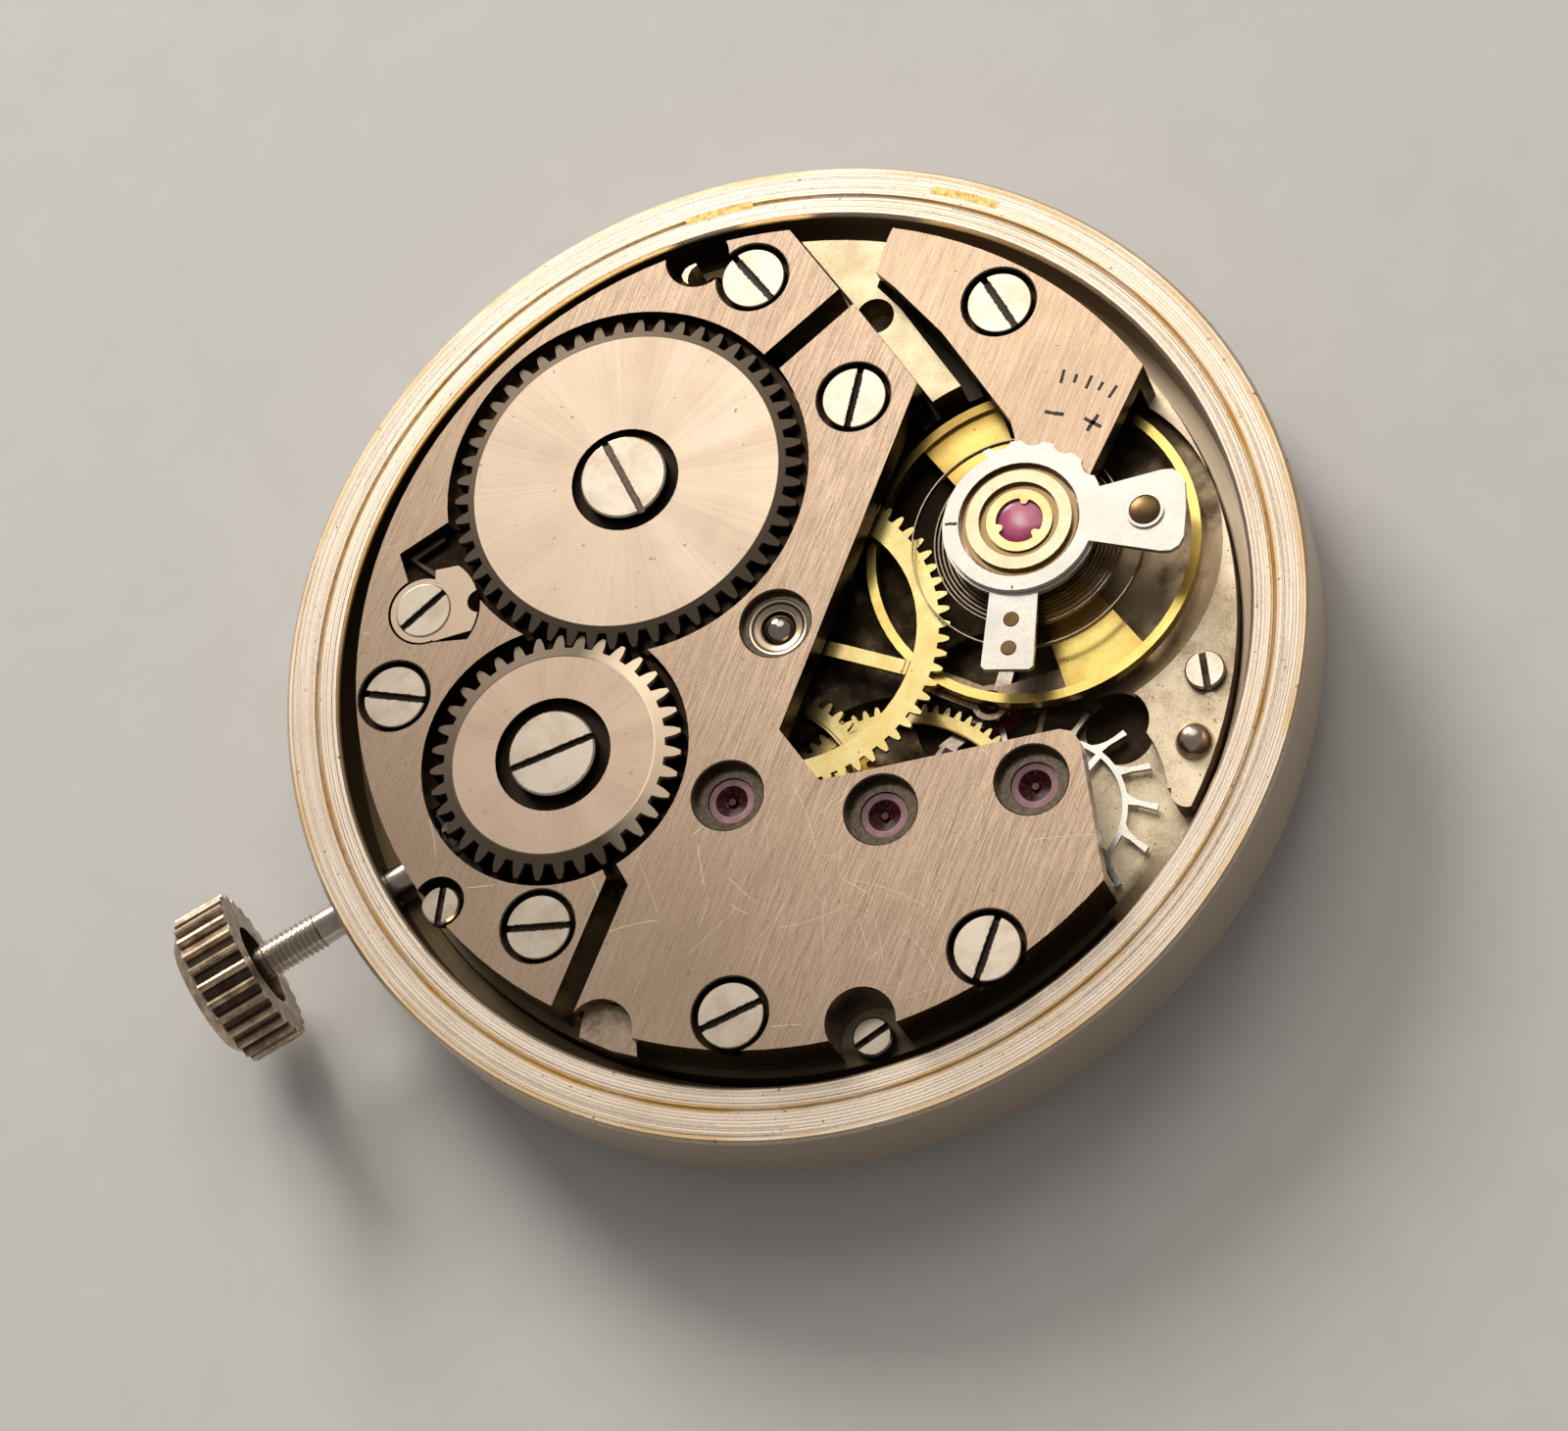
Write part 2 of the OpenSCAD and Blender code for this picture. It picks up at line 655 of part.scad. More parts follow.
module bridge_screw_holes(list) {
  for (s = list)
    at(s) {
      disc(head_recess_r, head_seat, far);
      broken_edge(head_recess_r);
      disc(shank_r + fit_gap, -1, far);
    }
}

module plate_screw_holes() {
  for (s = concat(barrel_bridge_screws, train_bridge_screws, [cock_screw, click_screw]))
    at(s) disc(shank_r + fit_gap, screw_depth - fit_gap, far);
  at(casing_screw_at) disc(small_shank_r + fit_gap, screw_depth - fit_gap, far);
  at(casing_hole_at) disc(casing_hole_r, screw_depth, far);
  at(plate_screw_at) disc(small_shank_r + fit_gap, screw_depth - fit_gap, far);
  at(plate_pin_at) disc(small_shank_r + fit_gap, screw_depth - fit_gap, far);
  for (p = pallet_feet)
    at(p) disc(small_shank_r + fit_gap, screw_depth - fit_gap, far);
  at(lever) disc(lever_shank_r + fit_gap, -1, far);
}

// Fixed pieces

module land_plan() {
  intersection() {
    circle(r = bridge_r);
    polygon(land_points);
  }
}

tongue_end = [7.32, -9.74];
tongue_r = 0.46;

// Low floor from the escape wheel out to the rim, round the end of the plate's tongue
module escape_outlet() {
  slab(escape_floor, far)
    difference() {
      polygon([escape + [2.0, -0.9], tongue_end + [-tongue_r, 0.4], tongue_end, tongue_end + [0.9, -0.15],
        tongue_end + [-0.1, -1.6], escape + [0.3, -4.6], escape + [-0.2, -3.2]]);
      at(tongue_end) circle(r = tongue_r);
    }
}

module plate_top_cuts() {
  at(barrel) disc(barrel_room_r, barrel_floor, far);
  disc(tip(centre_pinion_p, barrel_m) + wheel_room, barrel_floor, far);
  at(fourth) disc(fourth_tip + wheel_room, fourth_z - 0.10, far);
  at(escape) disc(escape_tip + 0.35, escape_floor, far);
  escape_outlet();
  at(balance) disc(balance_r + balance_room + 0.01, balance_floor, far);
  at(balance) disc(roller_r + 0.3, 0.55, far);
  at(pallet) {
    disc(holder_reach + wheel_room, escape_floor, far);
    rotate(fork_dir) translate([0, -0.75, escape_floor]) cube([fork_l + 0.5, 1.5, far]);
  }
  for (p = pallet_feet) {
    at(p) disc(pallet_foot_r + wheel_room, balance_floor, far);
    pallet_bar(p, pallet_bar_w + 2 * wheel_room, balance_floor, far);
  }
  at(plate_pocket) disc(plate_pocket_r, barrel_floor, far);
  winding_rooms();
  at(land_hole) disc(land_hole_r, plate_t, far);
}

land_hole = [6.69, 7.26];
land_hole_r = 0.55;

module plate_dial_cuts() {
  disc(hour_tip + wheel_room, -1, hour_ceiling);
  disc(tip(cannon_p, cannon_m) + wheel_room, -1, motion_ceiling);
  at(minute) disc(minute_tip + wheel_room, -1, motion_ceiling);
  at(setting) disc(setting_tip + wheel_room, -1, setting_z + setting_t + 0.04);
  slab(-1, keyless_ceiling)
    intersection() {
      circle(r = keyless_rim);
      polygon(keyless_points);
    }
  translate([groove_x0 - stem_pull - lap, -lever_pin_r - 0.2, -1])
    cube([groove_x1 - groove_x0 + stem_pull, 2 * lever_pin_r + 0.4, stem_z + 1]);
  at(balance) {
    disc(shock_r + fit_gap, -1, lower_head_t + 0.04);
    disc(lower_body_r + fit_gap, -1, far);
  }
  for (a = dial_foot_dirs)
    at(polar(dial_foot_at, a)) disc(dial_foot_r, -1, dial_foot_depth);
}

module plate_bores() {
  at(barrel) disc(arbor_low_r + run_gap, -1, far);
  disc(centre_arbor_r + run_gap, -1, far);
  at(third) {
    disc(jewel_r + fit_gap, third_jewel_z, far);
    disc(2 * pivot_r, third_jewel_z - 0.25, far);
  }
  at(fourth) disc(fourth_arbor_r + wheel_room, -1, far);
  for (p = [fourth, escape, pallet])
    at(p) {
      disc(jewel_r + fit_gap, well_floor, far);
      disc(2 * pivot_r, well_floor - 0.15, far);
    }
}

third_jewel_z = plate_t - 0.20 - jewel_t;
lower_head_t = 0.26;
lower_body_r = 1.00;

module main_plate() {
  color(nickel) {
    difference() {
      union() {
        disc(flange_r, 0, flange_t);
        disc(plate_r, 0, plate_t);
        slab(plate_t - lap, land_top) land_plan();
      }
      plate_top_cuts();
      plate_dial_cuts();
      plate_bores();
      plate_screw_holes();
    }
    at(minute) disc(minute_post_r, hour_z, motion_ceiling + lap);
    at(setting) disc(setting_post_r, hour_z, setting_z + setting_t + 0.04 + lap);
    at(yoke_pivot) disc(yoke_post_r, keyless_z, keyless_ceiling + lap);
  }
}

module barrel_bridge_plan() {
  difference() {
    union() {
      intersection() {
        circle(r = bridge_r);
        polygon(barrel_bridge_points);
      }
      at(barrel) circle(r = ratchet_recess_r);
      at(crown_axis) circle(r = crown_recess_r);
    }
    at(casing_hole_at) circle(r = 0.95);
  }
}

module click_plan() {
  difference() {
    union() {
      at(click_screw) circle(r = click_head_r);
      intersection() {
        polygon(click_beak_points);
        at(click_screw) circle(r = click_reach);
      }
    }
    at(click_notch) circle(r = click_notch_r);
  }
}

// Room of the click over its whole swing, and a little more at each end
module click_room() {
  pivot = [click_screw[0], click_screw[1]];
  at(pivot) circle(r = click_head_r + click_room_gap);
  intersection() {
    for (a = [-click_swing - 1.5:1.5:1.5])
      at(pivot) rotate(a) at(-pivot) polygon(click_beak_points);
    at(pivot) circle(r = click_reach + click_room_gap);
  }
}

module barrel_bridge() {
  color(nickel) difference() {
    slab(plate_t, bridge_top) barrel_bridge_plan();
    at(barrel) {
      disc(barrel_room_r, -1, barrel_top + 0.12);
      disc(arbor_up_r + run_gap, -1, far);
      disc(ratchet_recess_r, ratchet_floor, far);
    }
    disc(centre_tip + wheel_room, -1, centre_ceiling);
    at(third) disc(third_tip + wheel_room, -1, centre_ceiling);
    at(crown_axis) {
      disc(crown_recess_r, crown_wheel_floor, far);
      disc(shank_r + fit_gap, 1.85, far);
    }
    winding_rooms();
    slab(click_floor, far) {
      click_room();
      polygon(spring_pocket_points);
    }
    at(click_screw) disc(shank_r + fit_gap, -1, far);
    bridge_screw_holes(barrel_bridge_screws);
    at(lever) {
      disc(lever_head_r + 0.2, lever_seat, far);
      disc(lever_shank_r + fit_gap, -1, far);
    }
  }
}

lever_seat = 2.78;

// Notch at the rim beside the lower slit
rim_notch_r = 0.95;
rim_notch = polar(bridge_r + 0.17, 219.98);

module train_bridge_plan() {
  difference() {
    intersection() {
      circle(r = bridge_r + 0.05);
      polygon(train_bridge_points);
    }
    at(barrel) circle(r = ratchet_recess_r + recess_gap);
    at(crown_axis) circle(r = crown_recess_r + recess_gap);
    at(casing_screw_at) circle(r = 0.97);
    at(rim_notch) circle(r = rim_notch_r);
  }
}

module train_bridge() {
  color(nickel) difference() {
    slab(plate_t, bridge_top) train_bridge_plan();
    train_rooms(train_under);
    for (p = [third, fourth, escape])
      at(p) {
        disc(sink_r, jewel_seat + jewel_t + jewel_sink, far);
        broken_edge(sink_r);
        disc(jewel_r + fit_gap, -1, far);
      }
    disc(sink_r, bush_top, far);
    broken_edge(sink_r);
    disc(bush_r + fit_gap, -1, far);
    bridge_screw_holes(train_bridge_screws);
  }
}

bush_r = 0.82;
jewel_sink = 0.06;
bush_top = bridge_top - 0.26;

module balance_cock() {
  color(nickel) difference() {
    slab(plate_t, bridge_top) {
      intersection() {
        circle(r = bridge_r + 0.1);
        polygon(cock_points);
      }
      at(balance) circle(r = collar_r - 0.1);
    }
    at(balance) {
      disc(balance_r + balance_room + 0.01, -1, cock_under);
      disc(shock_body_r + fit_gap, -1, far);
    }
    bridge_screw_holes([cock_screw]);
    cock_marks();
  }
}

shock_body_r = 1.28;

// Regulator scale: five ticks with a minus at one end and a plus at the other, cut into the cock
mark_w = 0.09;
mark_d = 0.05;
tick_dirs = [47.5, 42.7, 37.6, 33, 28];

module mark(l, w) {
  translate([-l / 2, -w / 2, bridge_top - mark_d]) cube([l, w, 1]);
}

module cock_marks() {
  at(balance) {
    for (i = [0:len(tick_dirs) - 1])
      rotate(tick_dirs[i]) translate([4.55, 0]) mark(i % 2 == 0 ? 0.42 : 0.27, mark_w);
    rotate(46.7) translate([3.42, 0]) rotate(90) mark(0.55, mark_w);
    rotate(27.7) translate([3.50, 0]) {
      mark(0.55, mark_w);
      mark(mark_w, 0.55);
    }
  }
}

// A straight bar from the pallet arbor to a foot of the pallet bridge
module pallet_bar(foot, w, z0, z1) {
  at(pallet)
    rotate(heading(pallet, foot))
      translate([0, -w / 2, z0])
        cube([norm(foot - pallet), w, z1 - z0]);
}

pallet_foot_r = 0.46;
pallet_bar_w = 0.72;

module pallet_bridge() {
  color(nickel) difference() {
    union() {
      for (p = pallet_feet) {
        at(p) disc(pallet_foot_r, balance_floor, pallet_bridge_z + pallet_bridge_t);
        pallet_bar(p, pallet_bar_w, pallet_bridge_z, pallet_bridge_z + pallet_bridge_t);
      }
      at(pallet) disc(0.52, pallet_bridge_z, pallet_bridge_z + pallet_bridge_t);
    }
    at(pallet) disc(pallet_jewel_r + fit_gap, -1, far);
    for (p = pallet_feet)
      at(p) {
        disc(small_shank_r + fit_gap, -1, far);
        disc(pallet_head_r + fit_gap, pallet_bridge_z + pallet_bridge_t - pallet_head_t, far);
      }
  }
}

pallet_jewel_r = 0.34;
pallet_head_r = 0.36;
pallet_head_t = 0.13;

module movement_ring() {
  groove_w = 0.05;
  groove_d = 0.05;
  edge = 0.10;
  color(steel) difference() {
    rotate_extrude()
      polygon([[flange_r + run_gap, 0], [ring_out - edge, 0], [ring_out, edge], [ring_out, ring_top - edge],
        [ring_out - edge, ring_top], [ring_groove_r + groove_w, ring_top],
        [ring_groove_r, ring_top - groove_d], [ring_groove_r - groove_w, ring_top],
        [ring_in + edge, ring_top], [ring_in, ring_top - edge], [ring_in, flange_t + lip_h],
        [lip_r, flange_t + lip_h], [lip_r, flange_t], [flange_r + run_gap, flange_t]]);
    stem_rod(stem_r + 0.14, -ring_out - 1, -lip_r + 1);
  }
}

module bridge_screws() {
  color(steel) {
    for (s = concat(barrel_bridge_screws, train_bridge_screws, [cock_screw]))
      at(s) screw(head_r, head_t, shank_r, head_seat, screw_depth, s[2]);
    at(click_screw) screw(click_screw_r, 0.30, shank_r, click_seat, screw_depth, click_screw[2]);
  }
}

plate_head_r = 0.56;

module small_screws() {
  color(steel) {
    at(plate_screw_at) screw(plate_head_r, 0.25, small_shank_r, plate_t, screw_depth, 70);
    for (p = pallet_feet)
      at(p) screw(pallet_head_r, pallet_head_t, small_shank_r,
        pallet_bridge_z + pallet_bridge_t - pallet_head_t, screw_depth, 30);
  }
}

module casing_screw() {
  color(steel) at(casing_screw_at) screw(0.55, 0.55, small_shank_r, plate_t, screw_depth, 5);
}

module crown_wheel_core() {
  color(dark_steel) at(crown_axis)
    tube(crown_core_r, shank_r + fit_gap, crown_wheel_floor, crown_ledge + run_gap);
}

crown_core_r = 1.12;

module crown_wheel_screw() {
  color(steel) at(crown_axis) screw(wheel_head_r, wheel_head_t, shank_r, crown_ledge + run_gap, 1.9, -9);
}

module click_spring() {
  color(dark_steel) slab(click_z, click_z + 0.22) polygon(click_spring_points);
}

module centre_bush() {
  color(gilt) difference() {
    disc(bush_r, train_under, bush_top);
    disc(centre_arbor_r + run_gap, -1, far);
    disc(bush_well_r, bush_top - bush_well, far);
    translate([0, 0, bush_top - bush_dish])
      cylinder(h = 2 * bush_dish, r1 = bush_well_r + 0.04, r2 = 2 * bush_r - bush_well_r);
  }
}

bush_well_r = 0.50;
bush_well = 0.20;
bush_dish = 0.08;

module upper_jewels() {
  color(ruby) {
    for (p = [third, fourth, escape])
      at(p) jewel(jewel_r, jewel_hole_r, jewel_seat, jewel_t);
    at(pallet) jewel(pallet_jewel_r, staff_pivot_r + run_gap, pallet_bridge_z, pallet_bridge_t - 0.02);
  }
}

module lower_jewels() {
  color(ruby) {
    at(third) jewel(jewel_r, jewel_hole_r, third_jewel_z, jewel_t);
    at(fourth) jewel(jewel_r, fourth_arbor_r + run_gap, well_floor, jewel_t);
    at(escape) jewel(jewel_r, jewel_hole_r, well_floor, jewel_t);
    at(pallet) jewel(jewel_r, staff_pivot_r + run_gap, well_floor, jewel_t);
  }
}

seconds_r = 0.13;

// A shock block whose head faces +Z at z = 0
module shock_block(head_t, body_r, body_t) {
  difference() {
    union() {
      disc(shock_r, -head_t, -shock_step);
      disc(shock_head_r, -shock_step - lap, 0);
      disc(body_r, -head_t - body_t, lap - head_t);
    }
    disc(shock_recess_r, -shock_recess, 1);
    disc(cap_r + fit_gap, -head_t + 0.02, 1);
    disc(staff_pivot_r + run_gap, -far, 1);
  }
}

shock_recess = 0.16;
shock_recess_r = 1.12;
shock_head_r = shock_r - 0.13;
shock_step = 0.18;
cap_r = 0.52;
upper_body_t = bridge_top - cock_under;
lower_face = 0.04;

module shock_blocks() {
  color(gilt) at(balance) {
    translate([0, 0, shock_top]) shock_block(shock_h, shock_body_r, upper_body_t);
    translate([0, 0, lower_face]) mirror([0, 0, 1]) shock_block(lower_head_t, lower_body_r, 0.24);
  }
}

// A domed cap jewel, its dome towards +Z, standing on z = 0
module cap_jewel(h) {
  dome_r = (cap_r * cap_r + h * h) / (2 * h);
  intersection() {
    disc(cap_r, 0, h + 1);
    translate([0, 0, h - dome_r]) sphere(r = dome_r);
  }
}

module cap_jewels() {
  color(ruby) at(balance) {
    translate([0, 0, bridge_top + 0.04]) cap_jewel(shock_h - 0.12);
    translate([0, 0, lower_face + lower_head_t - 0.04]) mirror([0, 0, 1]) cap_jewel(lower_head_t - 0.08);
  }
}

spring_out = 0.92;
spring_in = 0.66;

// A flat ring with three tabs that hold the cap jewel down
module shock_spring_plan() {
  tab_w = 0.20;
  tab_end = 0.59;
  difference() {
    circle(r = spring_out);
    circle(r = spring_in);
  }
  for (i = [0:2])
    rotate(49 + 120 * i) {
      translate([tab_end, 0]) circle(r = tab_w / 2);
      polygon([[tab_end, -tab_w / 2], [spring_in + lap, -tab_w], [spring_in + lap, tab_w],
        [tab_end, tab_w / 2]]);
    }
}

module shock_springs() {
  color(gilt) at(balance) {
    slab(shock_top - shock_recess + fit_gap, shock_top - shock_recess + 0.09) shock_spring_plan();
    slab(lower_face + shock_recess - 0.09, lower_face + shock_recess - fit_gap) shock_spring_plan();
  }
}

module plate_pin() {
  pin_r = 0.52;
  color(steel) at(plate_pin_at) {
    disc(small_shank_r, screw_depth, plate_t + lap);
    translate([0, 0, plate_t])
      difference() {
        sphere(r = pin_r);
        translate([0, 0, -1]) cube(2, center = true);
      }
  }
}

module setting_lever_screw() {
  color(steel) at(lever) screw(lever_head_r, 0.40, lever_shank_r, lever_seat, keyless_z, 55);
}

module setting_lever_spring() {
  color(steel) slab(keyless_z, keyless_ceiling) polygon(lever_spring_points);
}

module yoke_spring() {
  color(dark_steel) slab(keyless_z, keyless_ceiling) polygon(yoke_spring_points);
}

// Winding

// Keeps a wheel under a flat face of radius face_r and a bevel outside it
module bevelled_top(face_r, r, z0) {
  disc(r, z0, wheel_top - bevel_h);
  translate([0, 0, wheel_top - bevel_h]) cylinder(r1 = r, r2 = face_r, h = bevel_h);
}

module ratchet_wheel() {
  color(steel) at(barrel) difference() {
    intersection() {
      gear(ratchet_n, ratchet_p, ratchet_m, ratchet_phase, ratchet_z, wheel_top - ratchet_z);
      bevelled_top(ratchet_face_r, ratchet_tip + 0.1, ratchet_z - lap);
    }
    disc(1.57, wheel_head_seat, far);
    translate([0, 0, ratchet_z])
      cube([arbor_square + 2 * fit_gap, arbor_square + 2 * fit_gap, 2], center = true);
  }
}

module ratchet_screw() {
  color(steel) at(barrel) screw(wheel_head_r, wheel_head_t, arbor_screw_r, wheel_head_seat, 2.2, 89.5);
}

arbor_screw_r = 0.32;

module barrel_arbor() {
  color(dark_steel) at(barrel) difference() {
    union() {
      disc(arbor_low_r, hour_ceiling + 0.04, barrel_z + drum_base + lap + 0.05);
      disc(1.30, barrel_z + drum_base + 0.05, barrel_top - 0.27);
      disc(arbor_up_r, barrel_top - 0.30, ratchet_floor);
      translate([-arbor_square / 2, -arbor_square / 2, ratchet_floor - lap])
        cube([arbor_square, arbor_square, wheel_head_seat - ratchet_floor + lap]);
    }
    disc(arbor_screw_r + fit_gap, 2.2 - fit_gap, far);
  }
}

module barrel_drum() {
  color(gilt) at(barrel) difference() {
    union() {
      gear(barrel_n, barrel_p, barrel_m, barrel_phase, barrel_z, barrel_rim_t);
      disc(drum_r, barrel_z, barrel_top);
    }
    disc(drum_r - drum_wall, barrel_z + drum_base, far);
    disc(arbor_low_r + run_gap, -1, far);
  }
}

module barrel_cover() {
  color(gilt) at(barrel)
    tube(drum_r - drum_wall - fit_gap, arbor_up_r + run_gap, barrel_top - 0.22, barrel_top - 0.02);
}

// Outline of a flat spiral ribbon of thickness t through the points of radii r at angles a
function ribbon_points(r, a, t) = concat(
  [for (i = [0:len(r) - 1]) polar(r[i] + t / 2, a[i])],
  [for (i = [len(r) - 1:-1:0]) polar(r[i] - t / 2, a[i])]);

spiral_steps = 24;
mainspring_turns = 7;
mainspring_t = 0.14;
mainspring_r = [for (i = [0:mainspring_turns * spiral_steps])
  1.45 + (drum_r - drum_wall - 1.45 - 0.12) * i / (mainspring_turns * spiral_steps)];
mainspring_a = [for (i = [0:mainspring_turns * spiral_steps]) 360 * i / spiral_steps];

module mainspring() {
  color(dark_steel) at(barrel)
    slab(barrel_z + drum_base + 0.05, barrel_top - 0.27)
      polygon(ribbon_points(mainspring_r, mainspring_a, mainspring_t));
}

module crown_wheel() {
  color(steel) at(crown_axis) difference() {
    intersection() {
      gear(crown_wheel_n, crown_wheel_p, ratchet_m, crown_wheel_phase, crown_wheel_z,
        wheel_top - crown_wheel_z);
      bevelled_top(crown_face_r, crown_wheel_tip + 0.1, crown_wheel_z - lap);
    }
    disc(crown_core_r + run_gap, -1, far);
    disc(1.67, crown_ledge, far);
  }
}

module click() {
  color(steel) difference() {
    slab(click_z, click_z + click_t) click_plan();
    at(click_screw) disc(shank_r + run_gap, -1, far);
    at(click_screw) disc(click_screw_r + 0.06, click_z + click_t - click_well, far);
  }
}

// Trapezoid dogs on the end face of a pinion
module dogs(r_in, r_out, half, x0, x1) {
  along_stem(x0, x1)
    for (i = [0:dog_n - 1])
      rotate(360 * i / dog_n)
        polygon([polar(r_in, -half), polar(r_out, -half), polar(r_out, half), polar(r_in, half)]);
}

module winding_pinion() {
  color(dark_steel) difference() {
    union() {
      along_stem(pinion_x0, pinion_x1)
        polygon(gear_points(winding_pinion_n, root(winding_pinion_p, 0.7 * ratchet_m), winding_pinion_p,
          winding_pinion_tip, 90));
      stem_rod(pinion_hub_r, pinion_hub_x0, pinion_hub_x1);
    }
    stem_rod(stem_r + run_gap, -far - 3, -far);
    dogs(stem_r, pinion_hub_r + 0.2, 13, pinion_hub_x1 - dog_h, pinion_hub_x1 + 1);
  }
}

module sliding_pinion() {
  groove_mid = yoke_pivot[0];
  side = stem_square + 2 * run_gap;
  color(dark_steel) difference() {
    union() {
      stem_rod(clutch_r, clutch_x0, clutch_x1);
      dogs(stem_square, pinion_hub_r, 10, clutch_x0 - dog_h + run_gap, clutch_x0 + lap);
    }
    along_stem(-far - 5, 0) square(side, center = true);
    difference() {
      stem_rod(clutch_r + 1, groove_mid - clutch_groove_w / 2, groove_mid + clutch_groove_w / 2);
      stem_rod(clutch_groove_r, clutch_x0, clutch_x1);
    }
    along_stem(clutch_x1 - 0.15, 0)
      for (i = [0:11])
        rotate(30 * i) translate([clutch_r, 0]) square([0.4, 0.22], center = true);
  }
}

module winding_stem() {
  color(steel) {
    stem_rod(0.40, crown_x - 1.0, crown_x + lap);
    stem_rod(stem_r, crown_x, groove_x0);
    stem_rod(groove_r, groove_x0 - lap, groove_x1 + lap);
    stem_rod(stem_r, groove_x1, shoulder_x);
    along_stem(shoulder_x - lap, square_x) square(stem_square, center = true);
    stem_rod(pilot_r, square_x - lap, pilot_x);
  }
}

module crown() {
  cap_h = 0.35;
  flute_d = 0.17;
  color("#a98f62") difference() {
    union() {
      along_stem(crown_x - crown_l, crown_x)
        polygon(gear_points(crown_flutes, crown_r - flute_d, crown_r - 0.3 * flute_d, crown_r, 0));
      translate([crown_x - crown_l, 0, stem_z])
        rotate([0, -90, 0])
          cylinder(r1 = crown_r - flute_d, r2 = crown_r - 0.6, h = cap_h);
    }
    stem_rod(0.40 + fit_gap, crown_x - 1.0 - fit_gap, 0);
    stem_rod(1.2, crown_x - 0.5, 0);
  }
}

// Setting works

module setting_lever() {
  pin = [lever_pin_x, 0];
  color(steel) {
    difference() {
      slab(keyless_z, keyless_z + keyless_t) {
        at(lever) circle(r = 0.62);
        at(pin) circle(r = 0.42);
        at(lever) rotate(heading(lever, pin)) translate([0, -0.36]) square([norm(pin - lever), 0.72]);
      }
      at(lever) disc(lever_shank_r + run_gap, -1, 2);
    }
    at(pin) disc(lever_pin_r, keyless_z + keyless_t - lap, stem_z - groove_r - 0.06);
  }
}

module yoke() {
  reach = yoke_pivot[1];
  color(steel) {
    difference() {
      slab(keyless_z, keyless_z + keyless_t) {
        at(yoke_pivot) circle(r = 0.62);
        at(yoke_pivot) translate([-0.34, -reach - 0.3]) square([0.68, reach + 0.3]);
      }
      at(yoke_pivot) disc(yoke_post_r + run_gap, -1, 2);
    }
    translate([yoke_pivot[0] - yoke_finger_w / 2, -0.2, keyless_z + keyless_t - lap])
      cube([yoke_finger_w, 0.4, stem_z - clutch_groove_r - 0.05 - keyless_z - keyless_t + lap]);
  }
}

module setting_wheel() {
  color(steel) at(setting) difference() {
    gear(setting_teeth, setting_p, cannon_m, setting_phase, setting_z, setting_t);
    disc(setting_post_r + run_gap, -1, 2);
  }
}

module minute_wheel() {
  color(gilt) at(minute) difference() {
    union() {
      gear(minute_n, minute_p, cannon_m, minute_phase, minute_z, motion_t);
      gear(minute_pinion_n, minute_pinion_p, hour_m, 0, hour_z, hour_t + lap);
    }
    disc(minute_post_r + run_gap, -1, 2);
  }
}

module hour_wheel() {
  color(gilt) difference() {
    union() {
      gear(hour_n, hour_p, hour_m, hour_phase, hour_z, hour_t);
      disc(hour_pipe_r, -hour_post, hour_z + lap);
    }
    disc(cannon_pipe_r + run_gap, -far, 2);
  }
}

// Posts for the hands, as lengths below the dial seat
hour_post = 1.15;
minute_post = 1.65;
seconds_post = 1.20;
seconds_collar = 0.06;
hour_pipe_r = 0.78;
cannon_pipe_r = 0.62;
minute_hand_r = 0.46;

module cannon_pinion() {
  color(steel) difference() {
    union() {
      gear(cannon_n, cannon_p, cannon_m, 0, minute_z, motion_t);
      disc(cannon_pipe_r, -hour_post, minute_z + lap);
      disc(minute_hand_r, -minute_post, lap - hour_post);
    }
    disc(centre_arbor_r + fit_gap, -far, 2);
  }
}

// Going train

centre_dome = 0.10;
centre_dome_r = 0.52;

module centre_pinion() {
  color(steel) {
    disc(centre_arbor_r, 0.10 - minute_post, bush_top - bush_well + lap);
    intersection() {
      disc(bush_well_r - 0.04, bush_top - bush_well + run_gap, far);
      translate([0, 0, bush_top + centre_dome - centre_dome_r]) sphere(r = centre_dome_r);
    }
    gear(centre_pinion_n, centre_pinion_p, barrel_m, 0, barrel_z - 0.02, barrel_rim_t + 0.09);
  }
}

module centre_wheel() {
  color(gilt)
    spoked_wheel(centre_n, centre_p, centre_m, centre_z, 0.62, 0.95, centre_arbor_r + fit_gap, 4, 0.42,
      -47.5);
}

module third_pinion() {
  color(steel) at(third) {
    arbor(train_arbor_r, pivot_r, third_jewel_z + jewel_t + run_gap, train_under, third_jewel_z - 0.1,
      jewel_seat + jewel_t - 0.06);
    gear(third_pinion_n, third_pinion_p, centre_m, third_pinion_phase, third_z + wheel_t + 0.16,
      train_under - third_z - wheel_t - 0.22);
  }
}

module third_wheel() {
  color(gilt) at(third)
    spoked_wheel(third_n, third_p, third_m, third_z, 0.40, 0.62, train_arbor_r + fit_gap, 4, 0.34, 40);
}

module fourth_pinion() {
  color(steel) at(fourth) {
    disc(fourth_arbor_r, -seconds_collar, train_under);
    disc(pivot_r, train_under - lap, jewel_seat + jewel_t - 0.06);
    disc(seconds_r, -seconds_post, lap - seconds_collar);
    gear(fourth_pinion_n, fourth_pinion_p, third_m, fourth_pinion_phase, fourth_z + wheel_t + 0.10, 0.52);
  }
}

module fourth_wheel() {
  color(gilt) at(fourth)
    spoked_wheel(fourth_n, fourth_p, fourth_m, fourth_z, 0.36, 0.58, fourth_arbor_r + fit_gap, 4, 0.32, 12);
}

